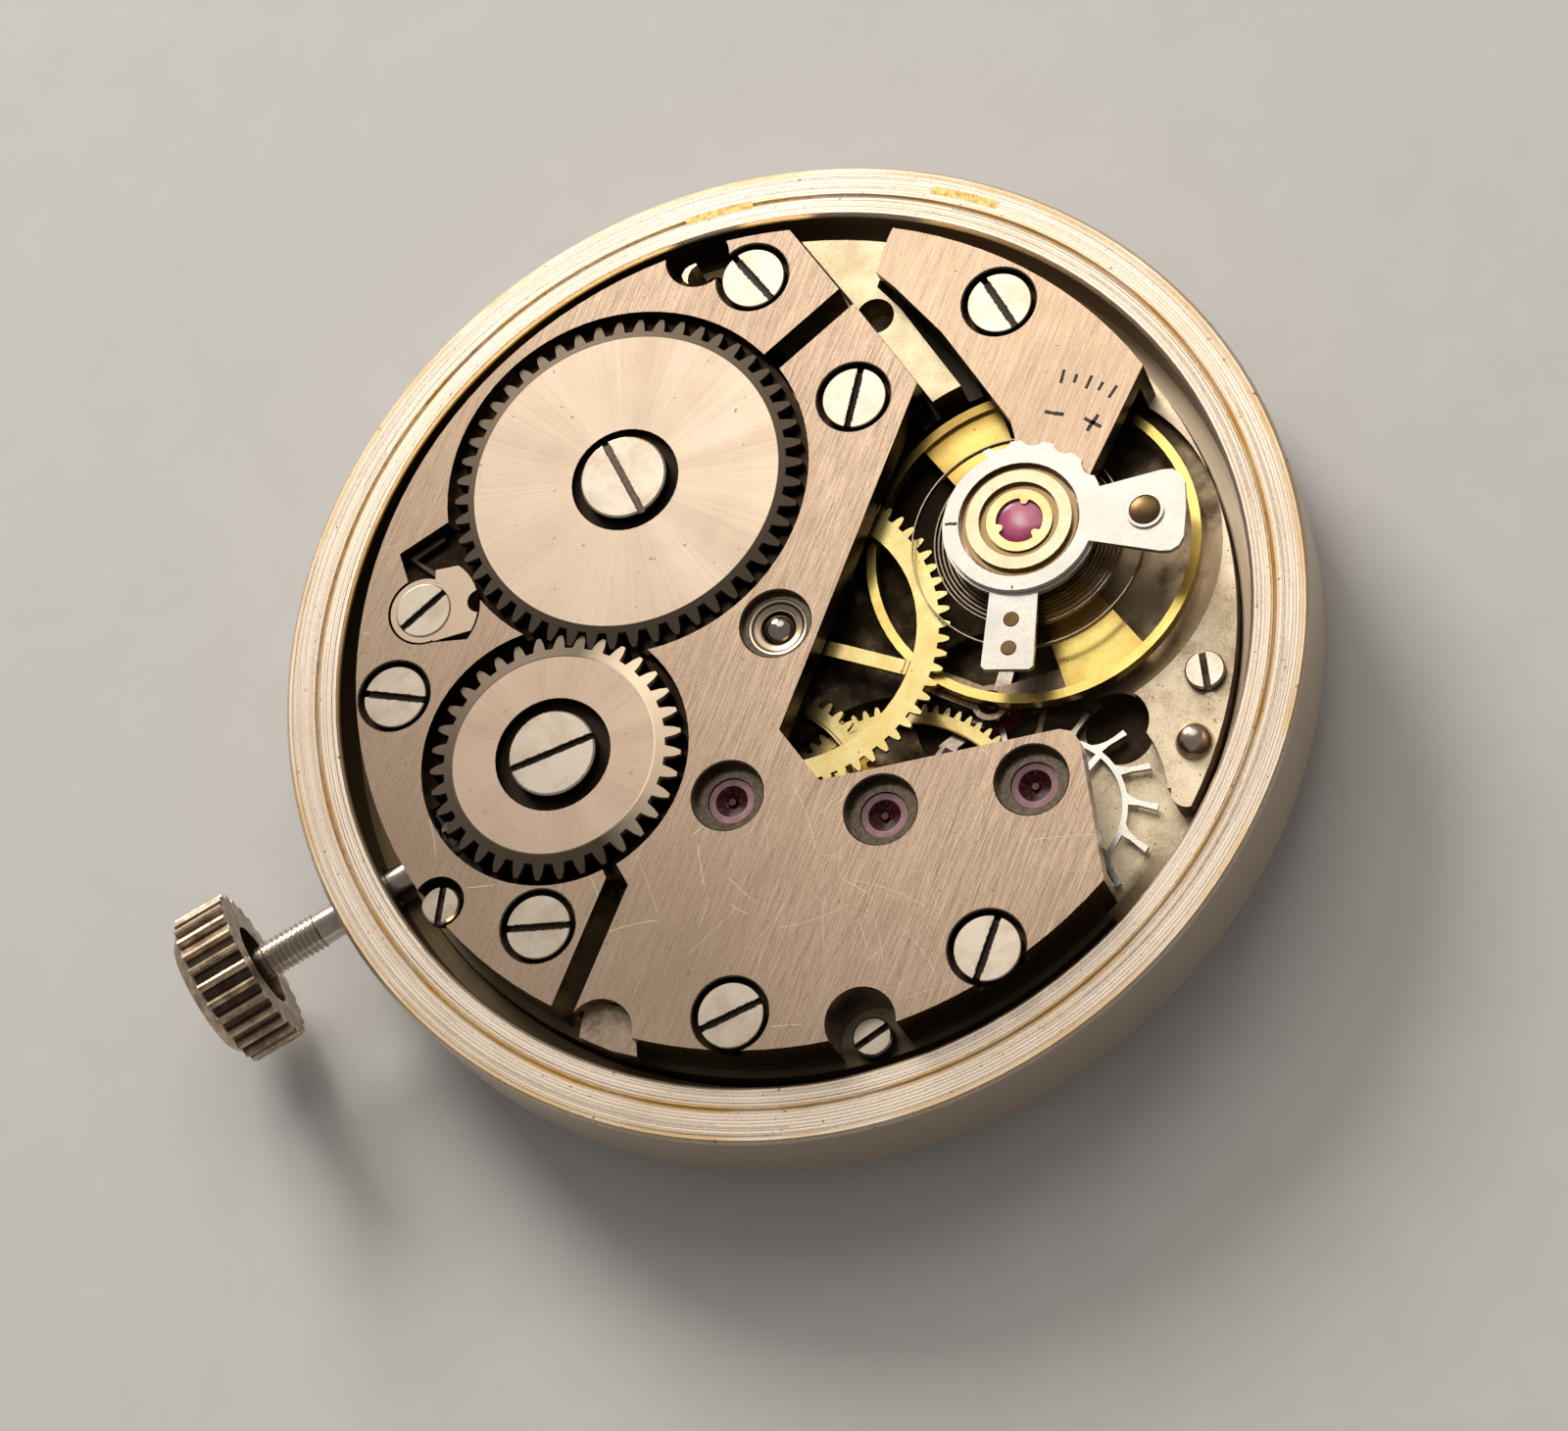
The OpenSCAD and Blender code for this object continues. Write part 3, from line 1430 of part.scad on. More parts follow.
module escape_pinion() {
  color(steel) at(escape) {
    arbor(train_arbor_r - 0.04, pivot_r, well_floor + jewel_t + run_gap, train_under, well_floor - 0.1,
      jewel_seat + jewel_t - 0.06);
    gear(escape_pinion_n, escape_pinion_p, fourth_m, escape_pinion_phase, escape_z + wheel_t + 0.04, 0.48);
  }
}

// One slim tooth, leaning clockwise from a broad root to a square-cut tip
function tooth_r(k) = escape_root + k * (escape_tip - escape_root);
function club_points(a) = [
  polar(escape_root, a + 2.6), polar(tooth_r(0.35), a + 1.4), polar(tooth_r(0.97), a - 1.9),
  polar(escape_tip, a + 1.6), polar(tooth_r(0.60), a + 3.1), polar(tooth_r(0.35), a + 5.0),
  polar(tooth_r(0.14), a + 8), polar(escape_root, a + 12), polar(escape_root, a + 19)];

module escape_wheel() {
  first_tip = -6.5;
  step = 360 / escape_n;
  color(steel) at(escape) difference() {
    slab(escape_z, escape_z + wheel_t)
      polygon([for (i = [0:escape_n - 1]) each club_points(first_tip + i * step)]);
    spoke_windows(escape_root - 0.15, 0.48, 4, 0.18, 20, escape_z, wheel_t);
    disc(train_arbor_r - 0.04 + fit_gap, -1, far);
  }
}

// Escapement and balance

module stone_plan(side) {
  rotate(pallet_dir + side * pallet_half)
    translate([stone_in, -0.12])
      square([stone_out - stone_in, 0.24]);
}

module pallet_fork() {
  seat = stone_in + 0.14;
  z1 = escape_z + wheel_t + 0.02;
  color(steel) difference() {
    slab(escape_z, z1) {
      at(pallet) circle(r = 0.42);
      for (side = [-1, 1]) {
        end = escape + polar(stone_out + 0.02, pallet_dir + side * pallet_half);
        at(pallet) rotate(heading(pallet, end)) translate([0, -0.20]) square([norm(end - pallet), 0.40]);
        at(escape)
          rotate(pallet_dir + side * pallet_half)
            translate([seat, -holder_half])
              square([holder_end - seat, 2 * holder_half]);
      }
      at(pallet)
        rotate(fork_dir)
          polygon([[0, -0.24], [fork_l - 0.5, -0.16], [fork_l - 0.3, -0.36], [fork_l, -0.40],
            [fork_l, 0.40], [fork_l - 0.3, 0.36], [fork_l - 0.5, 0.16], [0, 0.24]]);
    }
    at(pallet) {
      disc(pallet_arbor_r + fit_gap, -1, far);
      rotate(fork_dir) translate([fork_l - 0.28, -0.16, 0]) cube([1, 0.32, 2]);
    }
    slab(0, far)
      for (side = [-1, 1])
        at(escape) offset_stone(side);
  }
}

pallet_arbor_r = 0.16;

// The slot that holds a stone, a fit gap wider than the stone
module offset_stone(side) {
  rotate(pallet_dir + side * pallet_half)
    translate([stone_in - 1, -0.12 - fit_gap])
      square([stone_out - stone_in + 1 + fit_gap, 0.24 + 2 * fit_gap]);
}

module pallet_stones() {
  color(ruby) slab(escape_z - 0.03, escape_z + wheel_t + 0.04)
    for (side = [-1, 1])
      at(escape) stone_plan(side);
}

module pallet_arbor() {
  color(steel) at(pallet)
    arbor(pallet_arbor_r, staff_pivot_r, well_floor + jewel_t + run_gap, pallet_bridge_z - run_gap,
      well_floor - 0.1, pallet_bridge_z + pallet_bridge_t - 0.06);
}

module balance_wheel() {
  arm_z = balance_z + 0.04;
  arm_t = 0.20;
  rim_in = balance_r - balance_rim_w;
  color(gilt) at(balance) difference() {
    union() {
      tube(balance_r, rim_in, balance_z, balance_z + balance_h);
      slab(arm_z, arm_z + arm_t) {
        circle(r = 0.75);
        for (i = [0, 180])
          rotate(balance_arm_dir + i)
            polygon([[0, -arm_hub_w / 2], [rim_in + lap, -arm_rim_w / 2],
              [rim_in + lap, arm_rim_w / 2], [0, arm_hub_w / 2]]);
      }
    }
    disc(staff_r + fit_gap, -1, far);
  }
}

module balance_staff() {
  color(steel) at(balance) {
    arbor(staff_r, staff_pivot_r, 0.62, cock_under - run_gap, lower_face + lower_head_t, bridge_top - 0.02);
    disc(0.50, balance_z + 0.30, balance_z + 0.42);
    disc(0.50, hairspring_z - 0.02, hairspring_top + 0.02);
  }
}

roller_z = 1.12;

module roller() {
  color(steel) at(balance) difference() {
    union() {
      disc(roller_r, roller_z, roller_z + 0.16);
      disc(0.50, roller_z, balance_z + 0.04);
    }
    disc(staff_r + fit_gap, -1, far);
  }
}

module impulse_jewel() {
  color(ruby) at(balance)
    at(polar(impulse_reach, fork_dir + 180)) disc(impulse_r, escape_z - 0.02, roller_z);
}

// Hairspring: even coils, then an ease out to an end coil that runs between the curb pins to the stud
end_sweep = 150;
ease_sweep = 240;
end_gap = 9;
coil_sweep = 360 * hairspring_turns;
hair_sweep = coil_sweep + ease_sweep + end_sweep - end_gap;
hair_count = round(hair_sweep / 360 * spiral_steps);
hair_pitch = (hairspring_free - hairspring_in) / hairspring_turns;
function hair_r(s) =
  s < coil_sweep ? hairspring_in + hair_pitch * s / 360 :
  s < coil_sweep + ease_sweep ?
    hairspring_free
      + (hairspring_end - hairspring_free) * (1 - cos(180 * (s - coil_sweep) / ease_sweep)) / 2 :
  hairspring_end;
hair_steps = [for (i = [0:hair_count]) hair_sweep * i / hair_count];
hairspring_r = [for (s = hair_steps) hair_r(s)];
hairspring_a = [for (s = hair_steps) stud_dir - end_gap - hair_sweep + s];
hair_gap = min([for (i = [0:hair_count - spiral_steps]) hairspring_r[i + spiral_steps] - hairspring_r[i]])
  - hairspring_t;
echo("least gap between hairspring coils, mm", hair_gap);

module hairspring() {
  color("#4a4f57") at(balance)
    slab(hairspring_z, hairspring_top)
      polygon(ribbon_points(hairspring_r, hairspring_a, hairspring_t));
}

stud_dome = 0.16;
stud_dome_r = 1.00;

module hairspring_stud() {
  color(gilt) at(balance) at(polar(stud_reach, stud_dir)) {
    intersection() {
      disc(stud_r, stud_carrier_z - 0.06, far);
      translate([0, 0, stud_carrier_z + collar_t + stud_dome - stud_dome_r]) sphere(r = stud_dome_r);
    }
    disc(0.26, hairspring_z - 0.02, stud_carrier_z);
  }
}

collar_in = shock_r + 0.09;

module stud_carrier() {
  arm_end_w = 1.20;
  rim_top = stud_carrier_z + collar_t + 0.04;
  scallops = [6.8, 30.8, 52.8, 74.8];
  color("#f2f0ea") at(balance) difference() {
    slab(stud_carrier_z, stud_carrier_z + collar_t) {
      circle(r = collar_r);
      intersection() {
        circle(r = collar_r + 0.26);
        polygon([[0, 0], polar(4, -11), polar(4, 37), polar(4, 87)]);
      }
      rotate(stud_dir)
        for (side = [0, 1])
          mirror([0, side])
            polygon([[0, 0], [0, 0.55], [stud_reach - 1.64, 0.74], [stud_reach + 0.43, arm_end_w],
              [stud_reach + 0.71, arm_end_w], [stud_reach + 0.93, arm_end_w - 0.13],
              [stud_reach + 1.06, arm_end_w - 0.38], [stud_reach + 1.11, 0]]);
    }
    for (a = scallops)
      at(polar(collar_r + 0.50, a)) disc(0.40, 0, far);
    disc(collar_in, 0, far);
    at(polar(stud_reach, stud_dir)) disc(stud_r + fit_gap, 0, far);
  }
  color("#f2f0ea") at(balance) at(polar(stud_reach, stud_dir))
    tube(stud_r + 0.11, stud_r + fit_gap, stud_carrier_z + collar_t - lap, rim_top);
}

module regulator() {
  arm_end = curb_out + 0.62;
  corner = 0.10;
  color("#f2f0ea") at(balance) difference() {
    slab(regulator_z, regulator_z + collar_t) {
      circle(r = collar_r + 0.08);
      rotate(curb_dir) polygon([[0, -0.62], [arm_end - corner, -0.72], [arm_end, corner - 0.72],
        [arm_end, 0.72 - corner], [arm_end - corner, 0.72], [0, 0.62]]);
    }
    disc(collar_in, 0, far);
    for (d = [curb_in, curb_out])
      at(polar(d, curb_dir)) disc(curb_pin_r + fit_gap, 0, far);
  }
}

curb_tail_r = 0.08;

module curb_pins() {
  color(gilt) at(balance)
    for (d = [curb_in, curb_out])
      at(polar(d, curb_dir)) {
        disc(curb_pin_r, regulator_z - 0.10, regulator_z + collar_t + 0.03);
        disc(curb_tail_r, hairspring_z - 0.02, regulator_z);
      }
}

main_plate();
barrel_bridge();
train_bridge();
balance_cock();
pallet_bridge();
movement_ring();
bridge_screws();
small_screws();
casing_screw();
crown_wheel_core();
crown_wheel_screw();
click_spring();
centre_bush();
upper_jewels();
lower_jewels();
shock_blocks();
cap_jewels();
shock_springs();
plate_pin();
setting_lever_screw();
setting_lever_spring();
yoke_spring();
ratchet_wheel();
ratchet_screw();
barrel_arbor();
barrel_drum();
barrel_cover();
mainspring();
crown_wheel();
click();
winding_pinion();
winding_stem();
crown();
sliding_pinion();
setting_lever();
yoke();
setting_wheel();
minute_wheel();
hour_wheel();
cannon_pinion();
centre_pinion();
centre_wheel();
third_pinion();
third_wheel();
fourth_pinion();
fourth_wheel();
escape_pinion();
escape_wheel();
pallet_fork();
pallet_stones();
pallet_arbor();
balance_wheel();
balance_staff();
roller();
impulse_jewel();
hairspring();
hairspring_stud();
stud_carrier();
regulator();
curb_pins();
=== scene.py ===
import math
import random

import bmesh
import bpy
from mathutils import Matrix, Vector
from mathutils.bvhtree import BVHTree


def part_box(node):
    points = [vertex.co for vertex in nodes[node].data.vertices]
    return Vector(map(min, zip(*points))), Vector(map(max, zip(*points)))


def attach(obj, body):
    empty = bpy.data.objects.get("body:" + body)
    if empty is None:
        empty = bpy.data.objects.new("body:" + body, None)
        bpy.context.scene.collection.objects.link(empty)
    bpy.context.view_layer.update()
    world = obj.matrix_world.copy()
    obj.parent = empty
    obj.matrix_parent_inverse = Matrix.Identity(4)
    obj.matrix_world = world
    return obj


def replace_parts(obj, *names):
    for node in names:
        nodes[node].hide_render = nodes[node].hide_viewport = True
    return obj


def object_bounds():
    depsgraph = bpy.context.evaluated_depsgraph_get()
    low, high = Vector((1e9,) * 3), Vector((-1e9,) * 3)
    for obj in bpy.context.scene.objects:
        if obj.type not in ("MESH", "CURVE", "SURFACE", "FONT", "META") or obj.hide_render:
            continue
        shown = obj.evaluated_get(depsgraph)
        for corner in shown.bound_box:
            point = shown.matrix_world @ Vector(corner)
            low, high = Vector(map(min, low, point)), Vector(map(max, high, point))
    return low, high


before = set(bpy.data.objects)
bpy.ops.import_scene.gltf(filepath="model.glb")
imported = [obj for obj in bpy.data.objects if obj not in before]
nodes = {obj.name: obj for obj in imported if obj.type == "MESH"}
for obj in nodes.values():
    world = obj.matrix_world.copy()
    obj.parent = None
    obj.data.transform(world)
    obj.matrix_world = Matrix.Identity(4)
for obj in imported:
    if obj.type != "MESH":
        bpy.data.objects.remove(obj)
cad_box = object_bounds()
MM = 0.001

# Axes and levels of the movement, in millimetres, as the part's source has them
CENTRE = (0.0, 0.0)
BARREL = (-1.69, 6.37)
CROWN_WHEEL = (-7.09, 0.0)
THIRD = (-3.42, -3.80)
FOURTH = (0.0, -6.48)
BALANCE = (7.15, -1.27)
PLATE_PIN = (8.15, -8.60)
STUD_ANGLE = -30
STUD_R = 3.49
STEM_Z = 1.42
BRIDGE_TOP = 3.36
SINK_FLOOR = 2.93
PALLET_BRIDGE_TOP = 1.59
WHEEL_TOP = 3.38
RING_TOP = 2.60
HEAD_TOP = 3.30
CLICK_TOP = 3.38
RATCHET_SCREW_TOP = 3.58
CROWN_SCREW_TOP = 3.51
GRAIN = math.radians(41)

# Screws as (x, y, angle of the slot in degrees)
BRIDGE_SCREWS = [(4.27, 9.99, -80), (-10.27, 4.16, -39), (-9.63, -4.30, -28), (5.00, 4.92, 50), (-6.14, -9.43, -5),
                 (0.65, -11.49, 43), (9.82, 5.17, 92)]
CLICK_SCREW = (-8.44, 6.06, 12)


class Look:
    """A node material with one Principled shader, and short calls for the nodes that drive it.

    Its positions are the model's own, in millimetres."""

    def __init__(self, name):
        self.mat = bpy.data.materials.new(name)
        self.mat.use_nodes = True
        self.tree = self.mat.node_tree
        self.tree.nodes.clear()
        out = self.node("OutputMaterial")
        self.shader = self.node("BsdfPrincipled")
        self.tree.links.new(self.shader.outputs[0], out.inputs[0])
        per_mm = 1 / MM
        self.place = self.vec("MULTIPLY", self.node("TexCoord").outputs["Object"], (per_mm, per_mm, per_mm))

    def node(self, kind):
        return self.tree.nodes.new("ShaderNode" + kind)

    def put(self, socket, value):
        """Links an output to the socket, or sets the socket's own constant."""
        if isinstance(value, bpy.types.NodeSocket):
            self.tree.links.new(value, socket)
        elif socket.type == "RGBA":
            socket.default_value = (*value, 1)
        else:
            socket.default_value = value

    def vec(self, op, a, b=None):
        n = self.node("VectorMath")
        n.operation = op
        self.put(n.inputs[0], a)
        if b is not None:
            self.put(n.inputs[1], b)
        return n.outputs["Value"] if op in ("LENGTH", "DOT_PRODUCT") else n.outputs["Vector"]

    def num(self, op, a, b=0.0, c=0.0):
        n = self.node("Math")
        n.operation = op
        for socket, value in zip(n.inputs, (a, b, c)):
            self.put(socket, value)
        return n.outputs[0]

    def times(self, a, b):
        return self.num("MULTIPLY", a, b)

    def weigh(self, *terms):
        """The sum of values, each times its weight."""
        total = self.times(*terms[-1])
        for value, weight in reversed(terms[:-1]):
            total = self.num("MULTIPLY_ADD", value, weight, total)
        return total

    def xyz(self, v):
        n = self.node("SeparateXYZ")
        self.put(n.inputs[0], v)
        return n.outputs

    def level(self):
        return self.xyz(self.place)[2]

    def join(self, x=0.0, y=0.0, z=0.0):
        n = self.node("CombineXYZ")
        for socket, value in zip(n.inputs, (x, y, z)):
            self.put(socket, value)
        return n.outputs[0]

    def turned(self, v, angle):
        n = self.node("VectorRotate")
        n.rotation_type = "Z_AXIS"
        self.put(n.inputs["Vector"], v)
        n.inputs["Angle"].default_value = angle
        return n.outputs[0]

    def noise(self, v, scale=1.0, detail=2.0, rough=0.5):
        n = self.node("TexNoise")
        self.put(n.inputs["Vector"], v)
        n.inputs["Scale"].default_value = scale
        n.inputs["Detail"].default_value = detail
        n.inputs["Roughness"].default_value = rough
        return n.outputs[0]

    def span(self, v, a, b, lo=0.0, hi=1.0):
        """lo at and before a, hi at and past b, even between them."""
        n = self.node("MapRange")
        for socket, value in zip(n.inputs, (v, a, b, lo, hi)):
            self.put(socket, value)
        return n.outputs[0]

    def below(self, v, a, b, amount=1.0):
        """amount at and before a, falling to 0 at b."""
        return self.span(v, a, b, amount, 0.0)

    def band(self, v, at, half, soft):
        """1 within half of at, falling to 0 over soft."""
        return self.below(self.num("ABSOLUTE", self.num("SUBTRACT", v, at)), half, half + soft)

    def ramp(self, v, *stops):
        n = self.node("ValToRGB")
        self.put(n.inputs[0], v)
        elements = n.color_ramp.elements
        while len(elements) < len(stops):
            elements.new(0.5)
        for element, (position, color) in zip(elements, stops):
            element.position = position
            element.color = (*color, 1)
        return n.outputs[0]

    def blend(self, f, a, b):
        n = self.node("Mix")
        n.data_type = "RGBA"
        factor, first, second, result = 0, 6, 7, 2  # the node's sockets for colours
        self.put(n.inputs[factor], f)
        self.put(n.inputs[first], a)
        self.put(n.inputs[second], b)
        return n.outputs[result]

    def tint(self, color, mask, amount, tone):
        """The colour with a part of tone in it where mask is 1."""
        return self.blend(self.times(mask, amount), color, tone)

    def bump(self, height, strength, depth_mm):
        n = self.node("Bump")
        n.inputs["Strength"].default_value = strength
        n.inputs["Distance"].default_value = depth_mm * MM
        self.put(n.inputs["Height"], height)
        self.put(self.shader.inputs["Normal"], n.outputs[0])

    def finish(self, color, rough, metallic=1.0, **more):
        self.put(self.shader.inputs["Base Color"], color)
        self.put(self.shader.inputs["Roughness"], rough)
        self.shader.inputs["Metallic"].default_value = metallic
        for key, value in more.items():
            self.put(self.shader.inputs[key.replace("_", " ")], value)
        return self.mat

    def around(self, centre):
        """Place about a vertical axis: the radius, and a unit vector in plan."""
        flat = self.vec("MULTIPLY", self.vec("SUBTRACT", self.place, (*centre, 0)), (1, 1, 0))
        return self.vec("LENGTH", flat), self.vec("NORMALIZE", flat)

    def stroke(self, angle, along, across, **k):
        """Noise drawn out along one direction in plan: fine straight brushing."""
        return self.noise(self.vec("MULTIPLY", self.turned(self.place, -angle), (along, across, 1)), **k)

    def facing_up(self):
        """1 on level faces, 0 on upright ones."""
        return self.num("ABSOLUTE", self.xyz(self.node("NewGeometry").outputs["True Normal"])[2])


def nickel(name, top, light=(0.88, 0.66, 0.49), dark=(0.36, 0.26, 0.19)):
    """Brushed nickel on the faces at and above top, dull in the sinks; below top, painted shade makes the walls dark
    brown, darker low down, and the pockets black, and painted light makes the walls at the plate's rim golden."""
    k = Look(name)
    fine = k.stroke(GRAIN, 0.9, 46, detail=3, rough=0.75)
    broad = k.stroke(GRAIN, 0.3, 12)
    f = k.weigh((fine, 0.72), (broad, 0.12), (k.noise(k.place, 24, 1), 0.16))
    brushed = k.ramp(f, (0.39, dark), (0.61, light))
    hairline = k.span(k.stroke(GRAIN, 0.4, 40, detail=1), 0.66, 0.74)
    brushed = k.tint(brushed, hairline, 0.55, (0.95, 0.76, 0.58))
    stain = k.span(k.noise(k.place, 0.22, 3, 0.55), 0.40, 0.72, 0, 0.30)
    brushed = k.blend(stain, brushed, (0.40, 0.28, 0.20))
    specks = k.span(k.noise(k.place, 7.5, 1), 0.735, 0.775)
    brushed = k.tint(brushed, specks, 0.5, (0.10, 0.07, 0.05))

    z = k.level()
    cloud = k.noise(k.place, 1.6, 3, 0.6)
    # painted shade: the walls dark brown
    wall = k.ramp(cloud, (0.35, (0.085, 0.056, 0.026)), (0.70, (0.25, 0.17, 0.085)))
    # painted light: the walls at the plate's rim are painted golden, as if lit
    turning = k.noise(k.join(z=k.times(z, 12)))
    rim = k.ramp(turning, (0.35, (0.40, 0.28, 0.11)), (0.65, (0.66, 0.48, 0.22)))
    wall = k.blend(k.span(k.around(CENTRE)[0], 11.5, 11.9, 0, 0.85), wall, rim)
    sink = k.ramp(k.noise(k.place, 9), (0.30, (0.11, 0.088, 0.066)), (0.70, (0.20, 0.162, 0.124)))
    # painted shade: the pockets near black
    pocket = k.ramp(cloud, (0.35, (0.020, 0.014, 0.010)), (0.70, (0.060, 0.042, 0.028)))
    low = k.blend(k.span(z, SINK_FLOOR - 0.01, SINK_FLOOR + 0.01), pocket, sink)
    # painted shade: the walls darker lower down, towards the pockets
    wall = k.blend(k.below(z, top - 1.3, top - 0.3, 0.85), wall, pocket)
    low = k.blend(k.span(k.facing_up(), 0.3, 0.7), wall, low)
    color = k.blend(k.span(z, top - 0.012, top - 0.004), low, brushed)
    k.bump(f, 0.40, 0.005)
    return k.finish(color, k.span(f, 0.36, 0.64, 0.34, 0.21))


def plate_metal():
    """The main plate: grained pale nickel, deeper on its raised land, painted dark as shade in its wells, turned on the
    dial side.
    """
    k = Look("plate_nickel")
    grain = k.noise(k.place, 26, 2, 0.7)
    cloud = k.noise(k.place, 0.9, 4, 0.6)
    f = k.weigh((grain, 0.4), (cloud, 0.6))
    color = k.ramp(f, (0.38, (0.56, 0.44, 0.30)), (0.50, (0.85, 0.71, 0.51)), (0.62, (0.98, 0.87, 0.65)))
    specks = k.span(k.noise(k.place, 5.2, 2, 0.6), 0.675, 0.72)
    color = k.tint(color, specks, 0.7, (0.10, 0.065, 0.04))
    z = k.level()
    land = k.ramp(f, (0.38, (0.58, 0.46, 0.29)), (0.60, (0.82, 0.73, 0.50)))
    color = k.blend(k.span(z, 2.50, 2.56), color, land)

    # painted shade: the well under the balance is painted dark, lighter towards its outer side where light falls
    r, u = k.around(BALANCE)
    shade = k.weigh((cloud, 0.8), (k.vec("DOT_PRODUCT", u, (0.71, -0.71, 0)), 0.4))
    well = k.ramp(shade, (0.28, (0.030, 0.021, 0.013)), (0.62, (0.16, 0.115, 0.07)), (0.80, (0.58, 0.45, 0.30)))
    color = k.blend(k.times(k.below(r, 5.45, 5.60), k.below(z, 1.30, 1.40)), color, well)

    # painted shade: the slot between the land and the balance cock is painted near black
    slot_middle = (7.5, 5.5)
    slot = k.times(k.below(k.around(slot_middle)[0], 1.9, 2.3, 0.92), k.below(z, 2.3, 2.45))
    color = k.blend(slot, color, (0.030, 0.021, 0.013))

    # painted shade: the floor under the train wheels is painted dark
    train_middle = (1.0, -2.8)
    under = k.ramp(cloud, (0.42, (0.035, 0.025, 0.016)), (0.60, (0.12, 0.088, 0.055)), (0.72, (0.42, 0.33, 0.22)))
    color = k.blend(k.times(k.below(k.around(train_middle)[0], 3.6, 4.6), k.below(z, 1.7, 1.8)), color, under)

    # painted shade in the deep pockets, on the rim at the left and on the walls; then the turned dial side
    r, u = k.around(CENTRE)
    pit = k.ramp(cloud, (0.35, (0.020, 0.014, 0.009)), (0.65, (0.070, 0.048, 0.030)))
    color = k.blend(k.times(k.below(z, 0.66, 0.72), k.below(r, 12.30, 12.40)), color, pit)
    rim = k.times(k.span(r, 11.7, 12.0, 0, 0.88), k.below(k.xyz(u)[0], 0.40, 0.55))
    color = k.blend(k.times(rim, k.below(z, 2.0, 2.1)), color, (0.11, 0.075, 0.035))
    wall = k.ramp(cloud, (0.35, (0.13, 0.09, 0.045)), (0.70, (0.34, 0.24, 0.13)))
    color = k.blend(k.span(k.facing_up(), 0.4, 0.7), wall, color)
    turning = k.noise(k.join(k.times(r, 30), k.times(cloud, 2)))
    dial = k.ramp(turning, (0.32, (0.50, 0.41, 0.32)), (0.68, (0.70, 0.59, 0.47)))
    color = k.blend(k.span(z, 0.10, 0.14), dial, color)
    k.bump(k.num("ADD", grain, specks), 0.30, 0.008)
    return k.finish(color, k.span(grain, 0.3, 0.7, 0.52, 0.36))


def sunray(name, centre, face_r, bore_r, light=(0.93, 0.765, 0.61), dark=(0.62, 0.485, 0.37), bright=None):
    """A wheel with a sunray face from bore_r to face_r and dark turned teeth outside it; bright is the direction in
    which a painted highlight lies on the teeth."""
    k = Look(name)
    r, u = k.around(centre)
    rays = k.noise(u, 30, 3, 0.75)
    f = k.weigh((rays, 0.34), (k.noise(u, 1.9, 1), 0.44), (k.noise(k.place, 0.7, 3, 0.6), 0.22))
    face = k.ramp(f, (0.36, dark), (0.62, light))
    specks = k.span(k.noise(k.place, 5.5, 1), 0.755, 0.79)
    face = k.tint(face, specks, 0.6, (0.12, 0.08, 0.05))
    turning = k.noise(k.join(k.times(r, 24)))
    teeth = k.ramp(turning, (0.3, (0.085, 0.065, 0.047)), (0.7, (0.185, 0.147, 0.11)))
    if bright is not None:
        # painted highlight: the teeth paler on the side towards bright
        painted_highlight_side = k.vec("DOT_PRODUCT", u, (math.cos(bright), math.sin(bright), 0))
        teeth = k.blend(k.span(painted_highlight_side, 0.35, 0.85), teeth, (0.86, 0.71, 0.54))
    z = k.level()
    # painted shade: the teeth near black below their top
    teeth = k.blend(k.span(z, 3.02, 3.16), (0.045, 0.033, 0.022), teeth)
    top = k.span(z, WHEEL_TOP - 0.012, WHEEL_TOP - 0.006)
    on_face = k.times(k.below(r, face_r - 0.01, face_r + 0.015), top)
    color = k.blend(on_face, teeth, face)
    # painted shade: dark inside the bore
    hole = k.times(k.below(r, bore_r - 0.02, bore_r + 0.02), k.below(z, WHEEL_TOP - 0.03, WHEEL_TOP - 0.012))
    color = k.blend(hole, color, (0.030, 0.022, 0.016))
    k.bump(k.num("ADD", turning, rays), 0.20, 0.006)
    return k.finish(color, k.blend(on_face, (0.58, 0.58, 0.58), k.span(f, 0.3, 0.7, 0.36, 0.25)))


def polished(name, light, dark, rough, grain=None, pivot=None, spots=0.5):
    """Polished steel with faint hairlines and a little staining; above the level pivot it is painted dark as shade."""
    k = Look(name)
    if grain is None:
        lines = k.noise(k.place, 9, 3, 0.6)
    else:
        lines = k.stroke(grain, 1.1, 26, rough=0.6)
    f = k.weigh((lines, 0.4), (k.noise(k.place, 0.9, 3, 0.6), 0.6))
    color = k.ramp(f, (0.34, dark), (0.62, light))
    color = k.tint(color, k.span(k.noise(k.place, 6.3), 0.71, 0.76), spots, (0.28, 0.21, 0.15))
    if pivot is not None:
        # painted shade: the pivot ends painted dark
        color = k.blend(k.span(k.level(), pivot, pivot + 0.02), color, (0.11, 0.06, 0.05))
    k.bump(lines, 0.10, 0.003)
    return k.finish(color, k.span(f, 0.35, 0.65, rough[1], rough[0]))


